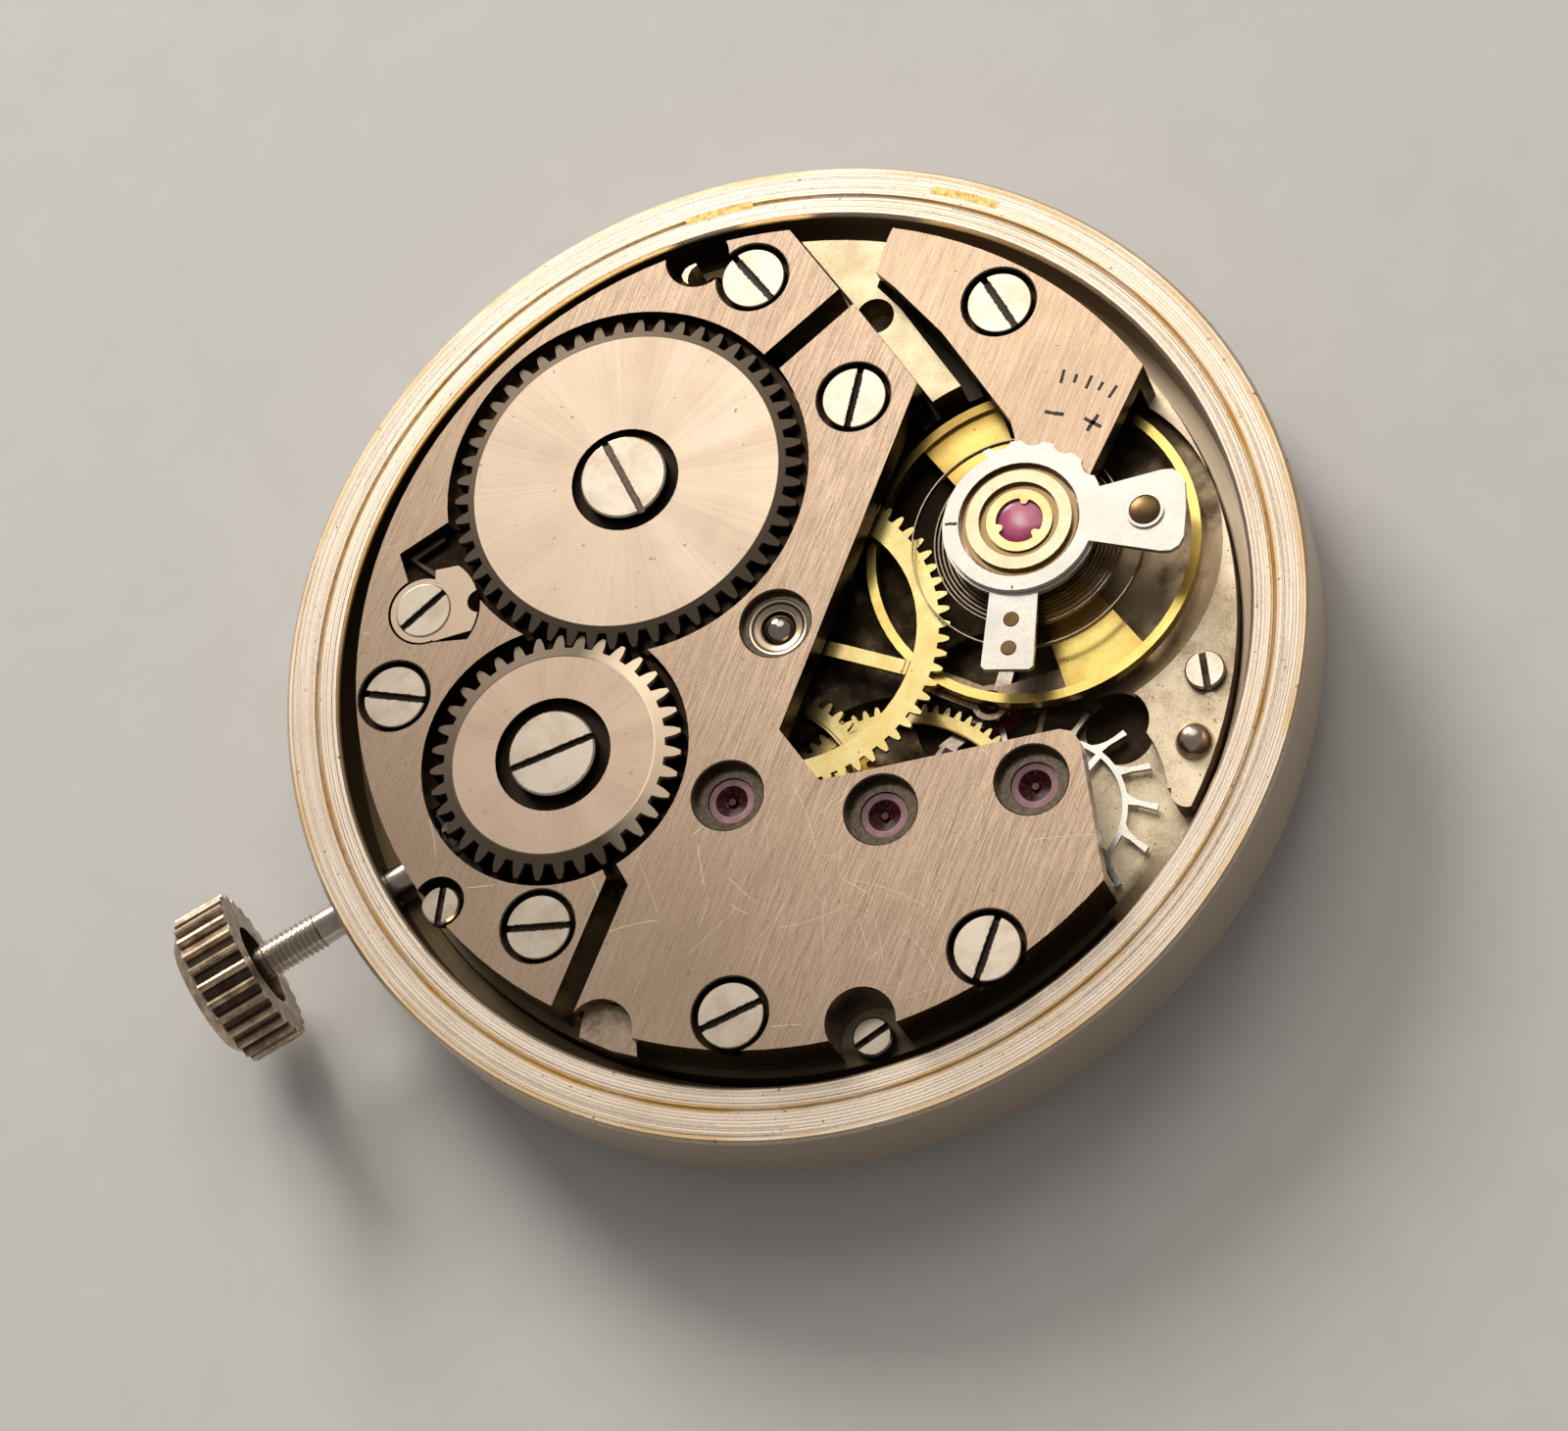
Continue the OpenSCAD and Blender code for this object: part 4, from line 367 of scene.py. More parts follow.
def screw_steel(name, heads):
    """Polished heads, painted dark as shade in the slots and on the flanks below their tops; heads lists
    (centre, top, reach) of each.
    """
    k = Look(name)
    shade_depth = 0.075
    stain = k.noise(k.place, 1.1, 3, 0.6)
    lines = k.noise(k.vec("MULTIPLY", k.turned(k.place, -0.3), (2, 40, 2)))
    face = k.ramp(k.weigh((stain, 0.75), (lines, 0.25)), (0.34, (0.76, 0.62, 0.485)), (0.56, (0.96, 0.85, 0.71)))
    face = k.tint(face, k.span(k.noise(k.place, 7.7), 0.72, 0.76), 0.5, (0.26, 0.19, 0.13))
    z = k.level()
    lit = None
    for centre, top, reach in heads:
        high = k.span(z, top - shade_depth - 0.01, top - shade_depth + 0.01)
        head = k.times(high, k.below(k.around(centre)[0], reach, reach + 0.05))
        lit = head if lit is None else k.num("MAXIMUM", lit, head)
    # painted shade: the slots and flanks below each head's top
    painted_shade = k.ramp(k.noise(k.place, 4.0, 3, 0.6), (0.35, (0.035, 0.026, 0.019)), (0.65, (0.15, 0.115, 0.085)))
    k.bump(lines, 0.10, 0.004)
    return k.finish(k.blend(lit, painted_shade, face), k.span(lit, 0, 1, 0.42, 0.27))


def gilt(name, centre=None, light=(1.0, 0.88, 0.46), dark=(0.88, 0.66, 0.23), rough=(0.20, 0.32), rings=(),
         arms=None, below=None):
    """Gilt brass, turned about its axis where it has one, its upright faces browner as painted shade; rings are the
    radii of cut lines, arms the direction of satin arms painted darker towards their edges and near the hub, with a
    painted shadow of the cock on the rim; below is a level under which it is painted brown as shade."""
    k = Look(name)
    brown = (0.30, 0.165, 0.045)
    height = k.noise(k.place, 19, 2, 0.7)
    f = k.weigh((height, 0.35), (k.noise(k.place, 1.3, 3, 0.6), 0.65))
    color = k.ramp(f, (0.33, dark), (0.66, light))
    if centre is not None:
        r, u = k.around(centre)
        height = k.noise(k.join(k.times(r, 34)), rough=0.6)
        color = k.blend(k.span(height, 0.40, 0.75, 0, 0.30), color, dark)
        for ring in rings:
            color = k.tint(color, k.band(r, ring, 0.012, 0.018), 0.9, (0.33, 0.17, 0.04))
        if arms is not None:
            side = k.num("ABSOLUTE", k.vec("DOT_PRODUCT", u, (-math.sin(arms), math.cos(arms), 0)))
            # painted shade: the arms darker towards their edges
            edge = k.times(k.span(side, 0.07, 0.30, 0, 0.55), k.below(r, 4.36, 4.42))
            color = k.blend(edge, color, (0.50, 0.28, 0.06))
            # painted shadow near the hub, as of the hairspring and stud carrier above
            color = k.blend(k.below(r, 2.75, 3.25, 0.75), color, (0.40, 0.22, 0.05))
            # painted shadow of the balance cock across the rim on the +y side
            cock_shadow = k.times(k.span(k.xyz(u)[1], 0.80, 0.96, 0, 0.7), k.span(r, 3.9, 4.3))
            color = k.blend(cock_shadow, color, (0.30, 0.165, 0.04))
    # painted shade: upright faces browner
    color = k.blend(k.span(k.facing_up(), 0.2, 0.7), k.blend(0.45, color, brown), color)
    if below is not None:
        # painted shade: brown below the level below
        color = k.blend(k.below(k.level(), below - 0.01, below + 0.01, 0.8), color, brown)
    color = k.tint(color, k.span(k.noise(k.place, 6.1, 1), 0.74, 0.78), 0.6, (0.16, 0.08, 0.02))
    k.bump(height, 0.16, 0.004)
    return k.finish(color, k.span(f, 0.3, 0.7, rough[1], rough[0]))


def ruby(name, pale, cup=None):
    """Polished synthetic ruby: a dull flat ring, and below the level cup a dark painted shade with painted red glints.
    """
    k = Look(name)
    cloud = k.noise(k.place, 3.4, 3, 0.6)
    color = k.ramp(cloud, (0.30, tuple(0.70 * c for c in pale)), (0.70, pale))
    if cup is not None:
        glint = k.noise(k.place, 11, 2, 0.6)
        # painted shade in the cup, with painted red glints
        painted_shade = k.ramp(glint, (0.45, (0.014, 0.001, 0.003)), (0.62, (0.085, 0.005, 0.013)), (0.72, (0.42, 0.07, 0.07)))
        color = k.blend(k.span(k.level(), cup - 0.006, cup), painted_shade, color)
    k.bump(cloud, 0.04, 0.01)
    return k.finish(color, k.span(cloud, 0.3, 0.7, 0.30, 0.42), 0.0, IOR=1.76, Specular_IOR_Level=0.10)


def cap_ruby():
    """The domed cap jewel: pink, painted pale at its centre as a highlight and deeper towards its edge as shade."""
    k = Look("cap_ruby")
    cloud = k.noise(k.place, 4.0, 3, 0.6)
    # painted highlight at the centre, painted shade towards the edge
    f = k.weigh((cloud, 0.25), (k.around(BALANCE)[0], 1.15))
    color = k.ramp(f, (0.18, (0.95, 0.55, 0.63)), (0.48, (0.78, 0.16, 0.33)), (0.82, (0.44, 0.04, 0.13)))
    k.bump(cloud, 0.03, 0.01)
    rough = k.span(cloud, 0.3, 0.7, 0.10, 0.2)
    return k.finish(color, rough, 0.0, IOR=1.76, Coat_Weight=0.2, Coat_Roughness=0.05)


def ring_metal():
    """The movement ring: turned lines all round, silver, with brass showing in its grooves."""
    k = Look("ring_turned")
    r, u = k.around(CENTRE)
    z = k.level()
    across = k.blend(k.span(k.facing_up(), 0.3, 0.6), z, r)
    drift = k.noise(u, 1.7)
    coarse = k.noise(k.join(k.weigh((drift, 0.5), (across, 9))), rough=0.6)
    fine = k.noise(k.join(k.weigh((drift, 0.9), (across, 26))), detail=3, rough=0.75)
    wave = k.num("SINE", k.weigh((drift, 1.5), (across, 66)))
    f = k.weigh((fine, 0.30), (coarse, 0.46), (k.noise(k.place, 12, 2, 0.7), 0.12))
    f = k.num("ADD", f, k.num("MULTIPLY_ADD", wave, 0.045, 0.06))
    color = k.ramp(f, (0.41, (0.50, 0.385, 0.295)), (0.49, (0.90, 0.755, 0.62)), (0.56, (0.99, 0.90, 0.79)))
    groove_r, outer_edge_r = 13.66, 14.45
    gold = k.num("MAXIMUM", k.band(r, groove_r, 0.06, 0.08), k.times(k.band(r, outer_edge_r, 0.04, 0.12), 0.8))
    patch = k.span(k.noise(u, 4.2, 3), 0.38, 0.60, 0.15, 0.85)
    color = k.tint(color, gold, patch, (0.74, 0.47, 0.15))
    pits = k.span(k.noise(k.place, 4.6, 2, 0.6), 0.68, 0.73)
    color = k.tint(color, pits, 0.75, (0.10, 0.06, 0.03))
    color = k.blend(k.span(k.noise(k.place, 0.35, 3), 0.48, 0.75, 0, 0.30), color, (0.60, 0.45, 0.30))

    # a plain wall outside; inside, the wall and ledge are painted dark as shade, with painted light at the right
    turning = k.noise(k.join(z=k.times(z, 30)))
    outside = k.ramp(turning, (0.35, (0.50, 0.41, 0.325)), (0.65, (0.64, 0.54, 0.44)))
    color = k.tint(color, k.below(k.facing_up(), 0.2, 0.4, 0.85), k.span(r, 14.50, 14.56), outside)
    painted_light_side = k.span(k.xyz(u)[0], 0.35, 0.70)
    wall = k.blend(painted_light_side, (0.055, 0.038, 0.022), (0.36, 0.275, 0.19))
    ledge = k.blend(painted_light_side, (0.20, 0.145, 0.08), (0.74, 0.60, 0.44))
    inside = k.blend(k.span(k.facing_up(), 0.4, 0.7), wall, ledge)
    color = k.blend(k.below(r, 13.02, 13.05), color, inside)
    k.bump(f, 0.6, 0.02)
    return k.finish(color, k.span(f, 0.38, 0.60, 0.50, 0.34), 0.88)


def crown_metal():
    """Worn plated crown: grey-brown on the ridges, painted dark as shade in the flutes, brass showing at the edges."""
    k = Look("crown_worn")
    x, y, z = k.xyz(k.place)
    crown_x = -18.0
    r = k.vec("LENGTH", k.join(y=y, z=k.num("SUBTRACT", z, STEM_Z)))
    cloud = k.noise(k.place, 2.4, 4, 0.65)
    color = k.ramp(cloud, (0.32, (0.26, 0.18, 0.125)), (0.52, (0.46, 0.345, 0.255)), (0.70, (0.66, 0.53, 0.41)))
    wear = k.times(k.span(r, 2.19, 2.26), k.span(cloud, 0.40, 0.60))
    color = k.blend(wear, color, (0.72, 0.55, 0.36))
    # painted shade: the flutes near black
    side = k.below(k.num("ABSOLUTE", k.num("SUBTRACT", x, crown_x)), 0.72, 0.76)
    color = k.tint(color, k.times(k.below(r, 2.11, 2.20), side), 0.85, (0.055, 0.036, 0.024))
    k.bump(k.num("ADD", cloud, k.noise(k.place, 22, 2, 0.7)), 0.35, 0.012)
    return k.finish(color, k.span(cloud, 0.3, 0.7, 0.48, 0.30))


def bush_metal():
    """The turned centre bush: a dish with fine rings, a bright lip as a painted highlight, a groove and well painted
    dark as shade.
    """
    k = Look("bush_turned")
    r = k.around(CENTRE)[0]
    rings = k.noise(k.join(k.times(r, 22)), rough=0.6)
    color = k.ramp(rings, (0.32, (0.32, 0.24, 0.17)), (0.68, (0.66, 0.53, 0.40)))
    # painted highlight: the bright lip
    color = k.blend(k.band(r, 0.79, 0.015, 0.02), color, (0.92, 0.80, 0.64))
    # painted shade: the groove
    color = k.blend(k.band(r, 0.72, 0.02, 0.03), color, (0.07, 0.05, 0.035))
    # painted shade: the well, dark brown
    color = k.blend(k.below(r, 0.50, 0.55, 0.9), color, (0.06, 0.042, 0.03))
    k.bump(rings, 0.4, 0.01)
    return k.finish(color, k.span(rings, 0.3, 0.7, 0.40, 0.28))


def dark_steel(name, light=(0.34, 0.31, 0.28), dark=(0.14, 0.125, 0.11), rough=(0.24, 0.4)):
    """Oiled, unpolished steel."""
    k = Look(name)
    fine = k.noise(k.place, 24, 2, 0.7)
    f = k.weigh((fine, 0.4), (k.noise(k.place, 3.2, 3, 0.6), 0.6))
    k.bump(fine, 0.15, 0.005)
    return k.finish(k.ramp(f, (0.34, dark), (0.66, light)), k.span(f, 0.3, 0.7, rough[1], rough[0]))


def dark_fill(name, dark, light):
    """A dark matte fill: painted shade in slots, ink in cut marks."""
    k = Look(name)
    clot = k.noise(k.place, 9, 3, 0.7)
    k.bump(clot, 0.6, 0.02)
    return k.finish(k.ramp(clot, (0.35, dark), (0.70, light)), k.span(clot, 0.3, 0.7, 0.5, 0.75), 0.0)


def bright_cut(name, light, dark, metallic=1.0):
    """Bare metal along a scratch, a tool line or a step; on a lip it is a painted highlight."""
    k = Look(name)
    f = k.noise(k.place, 6, 3, 0.7)
    k.bump(f, 0.2, 0.004)
    return k.finish(k.ramp(f, (0.36, dark), (0.62, light)), k.span(f, 0.3, 0.7, 0.5, 0.35), metallic)


class Shape:
    """Collects vertices, in millimetres, and faces for one piece."""

    def __init__(self):
        self.v, self.f = [], []

    def add(self, verts, faces):
        n = len(self.v)
        self.v += verts
        self.f += [tuple(i + n for i in f) for f in faces]

    def ribbon(self, path, t, z0, z1):
        """A flat band on edge along a path in plan."""
        verts = []
        for i, (x, y) in enumerate(path):
            a, b = path[max(i - 1, 0)], path[min(i + 1, len(path) - 1)]
            dx, dy = b[0] - a[0], b[1] - a[1]
            d = math.hypot(dx, dy)
            nx, ny = -dy / d * t / 2, dx / d * t / 2
            verts += [(x + nx, y + ny, z0), (x - nx, y - ny, z0), (x - nx, y - ny, z1), (x + nx, y + ny, z1)]
        faces = [(0, 1, 2, 3), tuple(4 * (len(path) - 1) + i for i in (3, 2, 1, 0))]
        for i in range(len(path) - 1):
            for j in range(4):
                faces.append((4 * i + j, 4 * i + 4 + j, 4 * i + 4 + (j + 1) % 4, 4 * i + (j + 1) % 4))
        self.add(verts, faces)

    def strip(self, centre, direction, length, width, z0, z1, rough, steps, rnd):
        """A low bar in plan whose long edges wander by up to rough."""
        c, s = math.cos(direction), math.sin(direction)
        verts = []
        for i in range(steps + 1):
            u = (i / steps - 0.5) * length
            for side in (-1, 1):
                w = side * (width / 2 + rnd.uniform(-rough, rough))
                for z in (z0, z1):
                    verts.append((centre[0] + u * c - w * s, centre[1] + u * s + w * c, z))
        faces = [(0, 1, 3, 2), tuple(4 * steps + i for i in (2, 3, 1, 0))]
        for i in range(steps):
            a, b = 4 * i, 4 * i + 4
            faces += [(a, b, b + 1, a + 1), (a + 1, b + 1, b + 3, a + 3),
                      (a + 3, b + 3, b + 2, a + 2), (a + 2, b + 2, b, a)]
        self.add(verts, faces)


def piece(name, shape, mat, body, smooth=False):
    """Makes a shape's object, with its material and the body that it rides."""
    me = bpy.data.meshes.new(name)
    me.from_pydata([Vector(v) * MM for v in shape.v], [], shape.f)
    bm = bmesh.new()
    bm.from_mesh(me)
    bmesh.ops.recalc_face_normals(bm, faces=bm.faces)
    bm.to_mesh(me)
    bm.free()
    for p in me.polygons:
        p.use_smooth = smooth
    ob = bpy.data.objects.new(name, me)
    bpy.context.scene.collection.objects.link(ob)
    me.materials.append(mat)
    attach(ob, body)
    return ob


def polar(centre, r, degrees):
    """A place in plan, from its radius and direction about a centre."""
    a = math.radians(degrees)
    return (centre[0] + r * math.cos(a), centre[1] + r * math.sin(a))


# Materials of the nodes
bridge_heads = [((x, y), HEAD_TOP, 0.96) for x, y, _ in BRIDGE_SCREWS] + [(CLICK_SCREW[:2], CLICK_TOP, 0.9)]
looks = {
    "main_plate": plate_metal(),
    "barrel_bridge": nickel("bridge_nickel_a", BRIDGE_TOP),
    "train_bridge": nickel("bridge_nickel_b", BRIDGE_TOP),
    "balance_cock": nickel("cock_nickel", BRIDGE_TOP, (0.84, 0.63, 0.46), (0.50, 0.36, 0.26)),
    # painted shade: the pallet bridge's nickel is painted darker, as it lies in shade
    "pallet_bridge": nickel("pallet_bridge_nickel", PALLET_BRIDGE_TOP, (0.50, 0.39, 0.28), (0.30, 0.22, 0.15)),
    "movement_ring": ring_metal(),
    "crown": crown_metal(),
    "ratchet_wheel": sunray("ratchet_sunray", BARREL, 4.46, 1.60),
    "crown_wheel": sunray("crown_wheel_sunray", CROWN_WHEEL, 2.90, 1.72, (0.88, 0.69, 0.535), (0.56, 0.42, 0.315),
                          math.radians(-20)),
    "click": polished("click_steel", (0.80, 0.64, 0.49), (0.58, 0.45, 0.34), (0.26, 0.36), 0.4),
    "bridge_screws": screw_steel("bridge_screw_steel", bridge_heads),
    "ratchet_screw": screw_steel("ratchet_screw_steel", [(BARREL, RATCHET_SCREW_TOP, 1.3)]),
    "crown_wheel_screw": screw_steel("crown_screw_steel", [(CROWN_WHEEL, CROWN_SCREW_TOP, 1.3)]),
    "setting_lever_screw": screw_steel("lever_screw_steel", [((-11.76, -2.14), 3.18, 0.6)]),
    "casing_screw": screw_steel("casing_screw_steel", [((-3.20, -11.50), 2.10, 0.6)]),
    "small_screws": screw_steel("small_screw_steel", [((9.39, -7.02), 1.80, 0.6)]),
    "plate_pin": polished("pin_steel", (0.86, 0.72, 0.58), (0.62, 0.50, 0.39), (0.20, 0.3)),
    "centre_wheel": gilt("centre_wheel_gilt", CENTRE, rings=(3.60, 3.72)),
    "third_wheel": gilt("third_wheel_gilt", THIRD, rings=(3.34,)),
    "fourth_wheel": gilt("fourth_wheel_gilt", FOURTH, rings=(3.30,)),
    "balance_wheel": gilt("balance_gilt", BALANCE, (1.0, 0.86, 0.32), (0.94, 0.68, 0.18), (0.20, 0.30),
                          arms=math.radians(90)),
    "barrel_drum": gilt("barrel_gilt", BARREL),
    "barrel_cover": gilt("barrel_cover_gilt", BARREL),
    "shock_blocks": gilt("shock_block_gilt", BALANCE, (0.86, 0.79, 0.60), (0.78, 0.67, 0.43), (0.20, 0.28), below=3.75),
    "centre_bush": bush_metal(),
    "centre_pinion": polished("centre_pinion_steel", (0.62, 0.57, 0.51), (0.42, 0.38, 0.33), (0.08, 0.16)),
    "upper_jewels": ruby("jewel_ruby", (0.58, 0.34, 0.36), cup=2.895),
    "cap_jewels": cap_ruby(),
}
dull_spring = dark_steel("dull_spring", (0.16, 0.125, 0.09), (0.06, 0.045, 0.032))
gilt_small = gilt("gilt_small", light=(0.99, 0.88, 0.50), dark=(0.82, 0.62, 0.24))
gilt_brown = gilt("gilt_brown", light=(0.26, 0.165, 0.075), dark=(0.14, 0.08, 0.032), rough=(0.34, 0.46))
white_steel = polished("white_steel", (0.82, 0.79, 0.745), (0.74, 0.705, 0.655), (0.22, 0.30), spots=0.15)
bright_steel = polished("bright_steel", (0.97, 0.95, 0.91), (0.92, 0.88, 0.82), (0.22, 0.30), spots=0.1)
steel = polished("plain_steel", (0.74, 0.66, 0.57), (0.50, 0.43, 0.36), (0.16, 0.28))
pinion_steel = polished("pinion_steel", (0.60, 0.54, 0.46), (0.40, 0.35, 0.29), (0.16, 0.28), pivot=2.5)
grey_steel = dark_steel("grey_steel")
spring_blue = dark_steel("spring_steel", (0.58, 0.47, 0.36), (0.30, 0.24, 0.18), (0.20, 0.32))
# painted shade: the lower jewels, pallet stones and impulse jewel are painted a darker ruby, as they lie in shade
ruby_low = ruby("lower_ruby", (0.42, 0.05, 0.12))
for names, mat in (
    ("hour_wheel minute_wheel shock_springs", gilt_small),
    ("curb_pins hairspring_stud", gilt_brown),
    ("stud_carrier regulator", white_steel),
    ("escape_wheel", bright_steel),
    ("setting_lever setting_lever_spring yoke setting_wheel winding_stem cannon_pinion pallet_fork pallet_arbor "
     "balance_staff roller", steel),
    ("third_pinion fourth_pinion escape_pinion", pinion_steel),
    ("click_spring", dull_spring),
    ("crown_wheel_core yoke_spring barrel_arbor winding_pinion sliding_pinion", grey_steel),
    ("hairspring mainspring", spring_blue),
    ("lower_jewels pallet_stones impulse_jewel", ruby_low),
):
    for name in names.split():
        looks[name] = mat
for name, ob in nodes.items():
    ob.data.materials.clear()
    ob.data.materials.append(looks[name])

# Materials of the pieces alone
# dark fill: ink in the cock's marks and the collar's ticks, painted shade in the screw slots
ink_and_shade = dark_fill("dark_fill", (0.016, 0.011, 0.008), (0.085, 0.056, 0.036))
# lighter painted shade in the ratchet screw's slot
pale_slot_shade = dark_fill("slot_shade_pale", (0.11, 0.075, 0.05), (0.36, 0.26, 0.18))
scratch = bright_cut("scratch", (1.0, 0.92, 0.80), (0.84, 0.72, 0.58), 0.4)
tool_mark = bright_cut("tool_mark", (0.40, 0.31, 0.24), (0.17, 0.125, 0.09))
brass_cut = bright_cut("brass_cut", (0.86, 0.60, 0.24), (0.46, 0.29, 0.10))
step_metal = bright_cut("step_metal", (0.45, 0.355, 0.265), (0.29, 0.22, 0.16))
# painted highlight: a bright crescent on the casing hole's lip
edge_bright = bright_cut("edge_bright", (0.96, 0.82, 0.66), (0.66, 0.52, 0.39))

rnd = random.Random(11)


def hair_path():
    """The hairspring in plan: close coils, an outward sweep, then an arc that ends at the stud."""
    turns, steps_per_turn = 18, 72
    r_in, r_free, r_end = 0.62, 2.66, 3.28
    ease, arc, gap_at_stud = 240, 150, 9
    coil = 360 * turns
    sweep = coil + ease + arc - gap_at_stud
    count = round(sweep / 360 * steps_per_turn)
    path = []
    for i in range(count + 1):
        s = sweep * i / count
        if s < coil:
            r = r_in + (r_free - r_in) / turns * s / 360
        elif s < coil + ease:
            r = r_free + (r_end - r_free) * (1 - math.cos(math.pi * (s - coil) / ease)) / 2
        else:
            r = r_end
        path.append(polar(BALANCE, r, STUD_ANGLE - gap_at_stud - sweep + s))
    return path


def barrel_path():
    """The mainspring in plan: an open spiral from the arbor to the drum."""
    turns, steps_per_turn, r_in, growth = 7, 60, 1.45, 3.478
    count = turns * steps_per_turn
    return [polar(BARREL, r_in + growth * i / count, 360 / steps_per_turn * i) for i in range(count + 1)]


hair = Shape()
hair_thickness, hair_low, hair_high = 0.034, 2.48, 2.66
hair.ribbon(hair_path(), hair_thickness, hair_low, hair_high)
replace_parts(piece("hairspring_coils", hair, spring_blue, "stud_carrier"), "hairspring")

main = Shape()
main_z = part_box("mainspring")
main_thickness = 0.14
main.ribbon(barrel_path(), main_thickness, main_z[0].z / MM, main_z[1].z / MM)
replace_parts(piece("mainspring_coils", main, spring_blue, "barrel"), "mainspring")


def slot_shade(shape, centre, degrees, r, top):
    """Painted shade: a dark strip on the floor of a slot, and dark ragged strips along its edges on the head."""
    a = math.radians(degrees)
    floor_width, floor_low, floor_high = 0.19, top - 0.178, top - 0.15
    lip_width, lip_low, lip_high = 0.012, top - 0.02, top + 0.0015
    shape.strip(centre, a, 1.97 * r, floor_width, floor_low, floor_high, rough=0.008, steps=14, rnd=rnd)
    for off in (-0.105, 0.105):
        lip = (centre[0] - off * math.sin(a), centre[1] + off * math.cos(a))
        shape.strip(lip, a, 1.80 * r, lip_width, lip_low, lip_high, rough=0.016, steps=26, rnd=rnd)


# painted shade in the screw slots
slots = Shape()
for x, y, a in BRIDGE_SCREWS:
    slot_shade(slots, (x, y), a, 0.84, HEAD_TOP)
slot_shade(slots, CLICK_SCREW[:2], CLICK_SCREW[2], 0.75, CLICK_TOP)
slot_shade(slots, CROWN_WHEEL, -9, 1.25, CROWN_SCREW_TOP)
piece("slot_shade_strips", slots, ink_and_shade, "frame")
slots = Shape()
slot_shade(slots, BARREL, 89.5, 1.25, RATCHET_SCREW_TOP)
piece("ratchet_slot_shade_strips", slots, pale_slot_shade, "ratchet")

# The scale, the minus and the plus on the balance cock
marks = Shape()
mark_low, mark_high, mark_steps = BRIDGE_TOP - 0.049, BRIDGE_TOP + 0.001, 8
scale_r, long_tick, short_tick, tick_width, tick_rough = 4.55, 0.41, 0.26, 0.085, 0.010
for i, a in enumerate((47.5, 42.7, 37.6, 33, 28)):
    length = short_tick if i % 2 else long_tick
    marks.strip(polar(BALANCE, scale_r, a), math.radians(a), length, tick_width, mark_low, mark_high, tick_rough,
                mark_steps, rnd)
sign_length, sign_width, sign_rough = 0.56, 0.11, 0.012
for r, at, a in ((3.42, 46.7, 136.7), (3.50, 27.7, 27.7), (3.50, 27.7, 117.7)):
    marks.strip(polar(BALANCE, r, at), math.radians(a), sign_length, sign_width, mark_low, mark_high, sign_rough,
                mark_steps, rnd)
piece("cock_mark_fill", marks, ink_and_shade, "frame")

ticks = Shape()
collar_low, collar_high = 3.76, 3.783
for r, a, length, width, rough, steps in ((1.88, 150.5, 0.34, 0.08, 0.015, 6), (2.02, 237, 0.12, 0.035, 0.008, 4)):
    ticks.strip(polar(BALANCE, r, a), math.radians(a), length, width, collar_low, collar_high, rough, steps, rnd)
piece("collar_ticks", ticks, ink_and_shade, "stud_carrier")


def head_rim(shape, centre, degrees, r_in, r_out, top):
    """A bright turned rim that brings a screw head out to its full width, open at the slot."""
    steps, half_slot, bevel, lift = 40, 0.11, 0.025, 0.0015
    profile = [(r_in, top - 0.02), (r_in, top + lift), (r_out - bevel, top + lift), (r_out, top - bevel),
               (r_out, top - 0.16)]
    n = len(profile)
    gap = math.degrees(math.asin(half_slot / r_out))
    for turn in (0, 180):
        verts = []
        for i in range(steps + 1):
            a = degrees + turn + gap + (180 - 2 * gap) * i / steps
            verts += [(*polar(centre, r, a), z) for r, z in profile]
        faces = [(n * i + j, n * i + n + j, n * i + n + (j + 1) % n, n * i + (j + 1) % n)
                 for i in range(steps) for j in range(n)]
        shape.add(verts, faces + [tuple(range(n)), tuple(n * steps + j for j in reversed(range(n)))])


rims = Shape()
for x, y, a in BRIDGE_SCREWS:
    head_rim(rims, (x, y), a, 0.70, 0.915, HEAD_TOP)
head_rim(rims, CLICK_SCREW[:2], CLICK_SCREW[2], 0.62, 0.80, CLICK_TOP)
piece("screw_head_rims", rims, looks["bridge_screws"], "frame")

stud = polar(BALANCE, STUD_R, STUD_ANGLE)
stud_rim = Shape()
rim_r, rim_thickness, rim_low, rim_high, rim_sides = 0.475, 0.075, 3.80, 3.872, 60
rim_path = [polar(stud, rim_r, 360 / rim_sides * i) for i in range(rim_sides + 1)]
stud_rim.ribbon(rim_path, rim_thickness, rim_low, rim_high)
piece("stud_rim", stud_rim, white_steel, "stud_carrier")


def dome(name, centre, r, base, height, mat, body):
    """A smooth spherical cap standing on the level base."""
    sides, rings = 48, 9
    ball = (r * r + height * height) / (2 * height)
    verts = [(*centre, base + height)]
    for i in range(1, rings + 1):
        q = r * i / rings
        z = base + height - ball + math.sqrt(max(ball * ball - q * q, 0))
        verts += [(*polar(centre, q, 360 * j / sides), z) for j in range(sides)]
    faces = [(0, 1 + j, 1 + (j + 1) % sides) for j in range(sides)]
    for i in range(rings - 1):
        a = 1 + i * sides
        faces += [(a + j, a + sides + j, a + sides + (j + 1) % sides, a + (j + 1) % sides) for j in range(sides)]
    shape = Shape()
    shape.add(verts, faces)
    piece(name, shape, mat, body, True)


dome("plate_pin_dome", PLATE_PIN, r=0.525, base=1.55, height=0.524, mat=looks["plate_pin"], body="frame")
dome("stud_dome", stud, r=0.424, base=3.85, height=0.097, mat=gilt_brown, body="stud_carrier")
dome("centre_arbor_dome", CENTRE, r=0.464, base=2.922, height=0.284, mat=looks["centre_pinion"], body="centre")
dome("cap_jewel_dome", BALANCE, r=0.66, base=3.63, height=0.078, mat=looks["cap_jewels"], body="frame")

